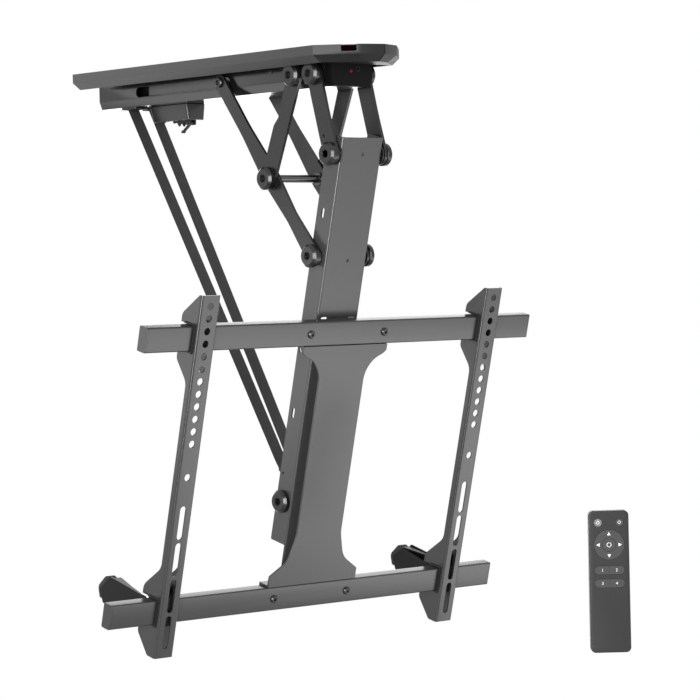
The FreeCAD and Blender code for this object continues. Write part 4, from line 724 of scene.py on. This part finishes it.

# %% [markdown]
# ## Light, floor and background
#
# A satin black coat shows little of its own colour. What the eye sees is a lamp's blurred mirror
# image, so each lamp stands where a group of faces mirrors the viewer. The screen side leans back
# 14 degrees: its faces mirror two softboxes that stand low at the right. The faces at the left
# mirror two smaller softboxes behind at the left. A narrow tall light beside the camera draws the
# fine lines on bolt heads, and on bends together with their painted highlight. A wide soft lamp
# behind at the right shows the back, and another above lights the top. All aim at the mount's
# middle. A softbox of width w, height h and radiance R needs pi w h R watts.

# %% Lamps
MIDDLE = (0, -0.3, -0.4)


def make_lamp(name, place, size, radiance):
    """A rectangular lamp at 'place' that faces MIDDLE; power = pi * width * height * radiance."""
    data = bpy.data.lights.new(name, "AREA")
    data.shape = "RECTANGLE"
    data.size, data.size_y = size
    data.energy = math.pi * size[0] * size[1] * radiance
    lamp = bpy.data.objects.new(name, data)
    lamp.location = place
    lamp.rotation_euler = (Vector(MIDDLE) - Vector(place)).to_track_quat("-Z", "Y").to_euler()
    lamp.visible_camera = False
    bpy.context.scene.collection.objects.link(lamp)


make_lamp("low_right_softbox", (1.30, -1.66, -1.40), (1.6, 0.5), 3.0)
make_lamp("right_softbox", (1.26, -1.60, -0.90), (1.6, 0.5), 1.3)
make_lamp("left_softbox", (-0.84, 0.60, -0.36), (0.9, 0.36), 1.1)
make_lamp("rear_left_softbox", (-0.76, 1.25, 0.16), (0.6, 0.35), 1.0)
make_lamp("line_light", (-2.85, -2.20, -0.3), (0.9, 2.6), 19.0)
make_lamp("behind_softbox", (1.7, 2.3, 0.1), (2.0, 2.2), 1.6)
make_lamp("top_softbox", (-0.6, -1.2, 2.6), (2.0, 2.0), 2.4)

# %% [markdown]
# The floor is pale and keeps the mount's soft shadow near its middle. Further out it turns plain
# white for the viewer and in mirrors, as a studio sweep does, and so does the room behind it. From
# below the floor can be seen through, so that the mount can also be looked at from underneath.

# %% Floor and room
FLOOR_Z = -1.7
FLOOR_HALF = 20
FADE_START, FADE_END = 1.1, 2.3
ROOM_LIGHT = 0.34


def white_to_the_eye(tree, shader, out, fade=None):
    """Mixes in plain white for rays from the viewer, in mirrors and through glass, times fade."""
    rays = tree.nodes.new("ShaderNodeLightPath")
    seen = rays.outputs["Is Camera Ray"]
    for name in ("Is Glossy Ray", "Is Transmission Ray"):
        more = tree.nodes.new("ShaderNodeMath")
        more.operation = "MAXIMUM"
        tree.links.new(seen, more.inputs[0])
        tree.links.new(rays.outputs[name], more.inputs[1])
        seen = more.outputs[0]
    if fade is not None:
        far = tree.nodes.new("ShaderNodeMath")
        far.operation = "MULTIPLY"
        tree.links.new(seen, far.inputs[0])
        tree.links.new(fade, far.inputs[1])
        seen = far.outputs[0]
    on_material = out.bl_idname == "ShaderNodeOutputMaterial"
    white = tree.nodes.new("ShaderNodeEmission" if on_material else "ShaderNodeBackground")
    white.inputs["Color"].default_value = (1, 1, 1, 1)
    white.inputs["Strength"].default_value = 1
    mix = tree.nodes.new("ShaderNodeMixShader")
    tree.links.new(seen, mix.inputs["Fac"])
    tree.links.new(shader.outputs[0], mix.inputs[1])
    tree.links.new(white.outputs[0], mix.inputs[2])
    tree.links.new(mix.outputs[0], out.inputs["Surface"])


def make_floor():
    """A square; fade = smooth step of the distance from its middle, FADE_START to FADE_END.

    Seen from below it is clear: the surface is mixed with a transparent one by Backfacing.
    """
    half = FLOOR_HALF
    corners = [(-half, -half, FLOOR_Z), (half, -half, FLOOR_Z), (half, half, FLOOR_Z),
               (-half, half, FLOOR_Z)]
    mesh = bpy.data.meshes.new("floor")
    mesh.from_pydata(corners, [], [(0, 1, 2, 3)])
    floor = bpy.data.objects.new("floor", mesh)
    bpy.context.scene.collection.objects.link(floor)
    material = finish("pale_floor", grey(232), 0.9, cells=40, depth=0, mottle=0.01)
    mesh.materials.append(material)
    tree = material.node_tree
    where, flat, distance, fade, side, clear, choice = (
        tree.nodes.new("ShaderNode" + kind) for kind in
        ("TexCoord", "VectorMath", "VectorMath", "MapRange", "NewGeometry", "BsdfTransparent",
         "MixShader"))
    flat.operation = "MULTIPLY"
    flat.inputs[1].default_value = (1, 1, 0)
    distance.operation = "LENGTH"
    fade.interpolation_type = "SMOOTHSTEP"
    fade.inputs["From Min"].default_value = FADE_START
    fade.inputs["From Max"].default_value = FADE_END
    tree.links.new(where.outputs["Object"], flat.inputs[0])
    tree.links.new(flat.outputs[0], distance.inputs[0])
    tree.links.new(distance.outputs["Value"], fade.inputs["Value"])
    out = tree.nodes["Material Output"]
    white_to_the_eye(tree, tree.nodes["Principled BSDF"], out, fade.outputs["Result"])
    tree.links.new(side.outputs["Backfacing"], choice.inputs["Fac"])
    tree.links.new(out.inputs["Surface"].links[0].from_socket, choice.inputs[1])
    tree.links.new(clear.outputs[0], choice.inputs[2])
    tree.links.new(choice.outputs[0], out.inputs["Surface"])


def make_room():
    """A world of even white light of strength ROOM_LIGHT, which the viewer sees as plain white."""
    room = bpy.data.worlds.new("room")
    bpy.context.scene.world = room
    room.use_nodes = True
    tree = room.node_tree
    tree.nodes["Background"].inputs["Color"].default_value = (1, 1, 1, 1)
    tree.nodes["Background"].inputs["Strength"].default_value = ROOM_LIGHT
    white_to_the_eye(tree, tree.nodes["Background"], tree.nodes["World Output"])


make_floor()
make_room()
bpy.context.scene.view_settings.view_transform = "Standard"
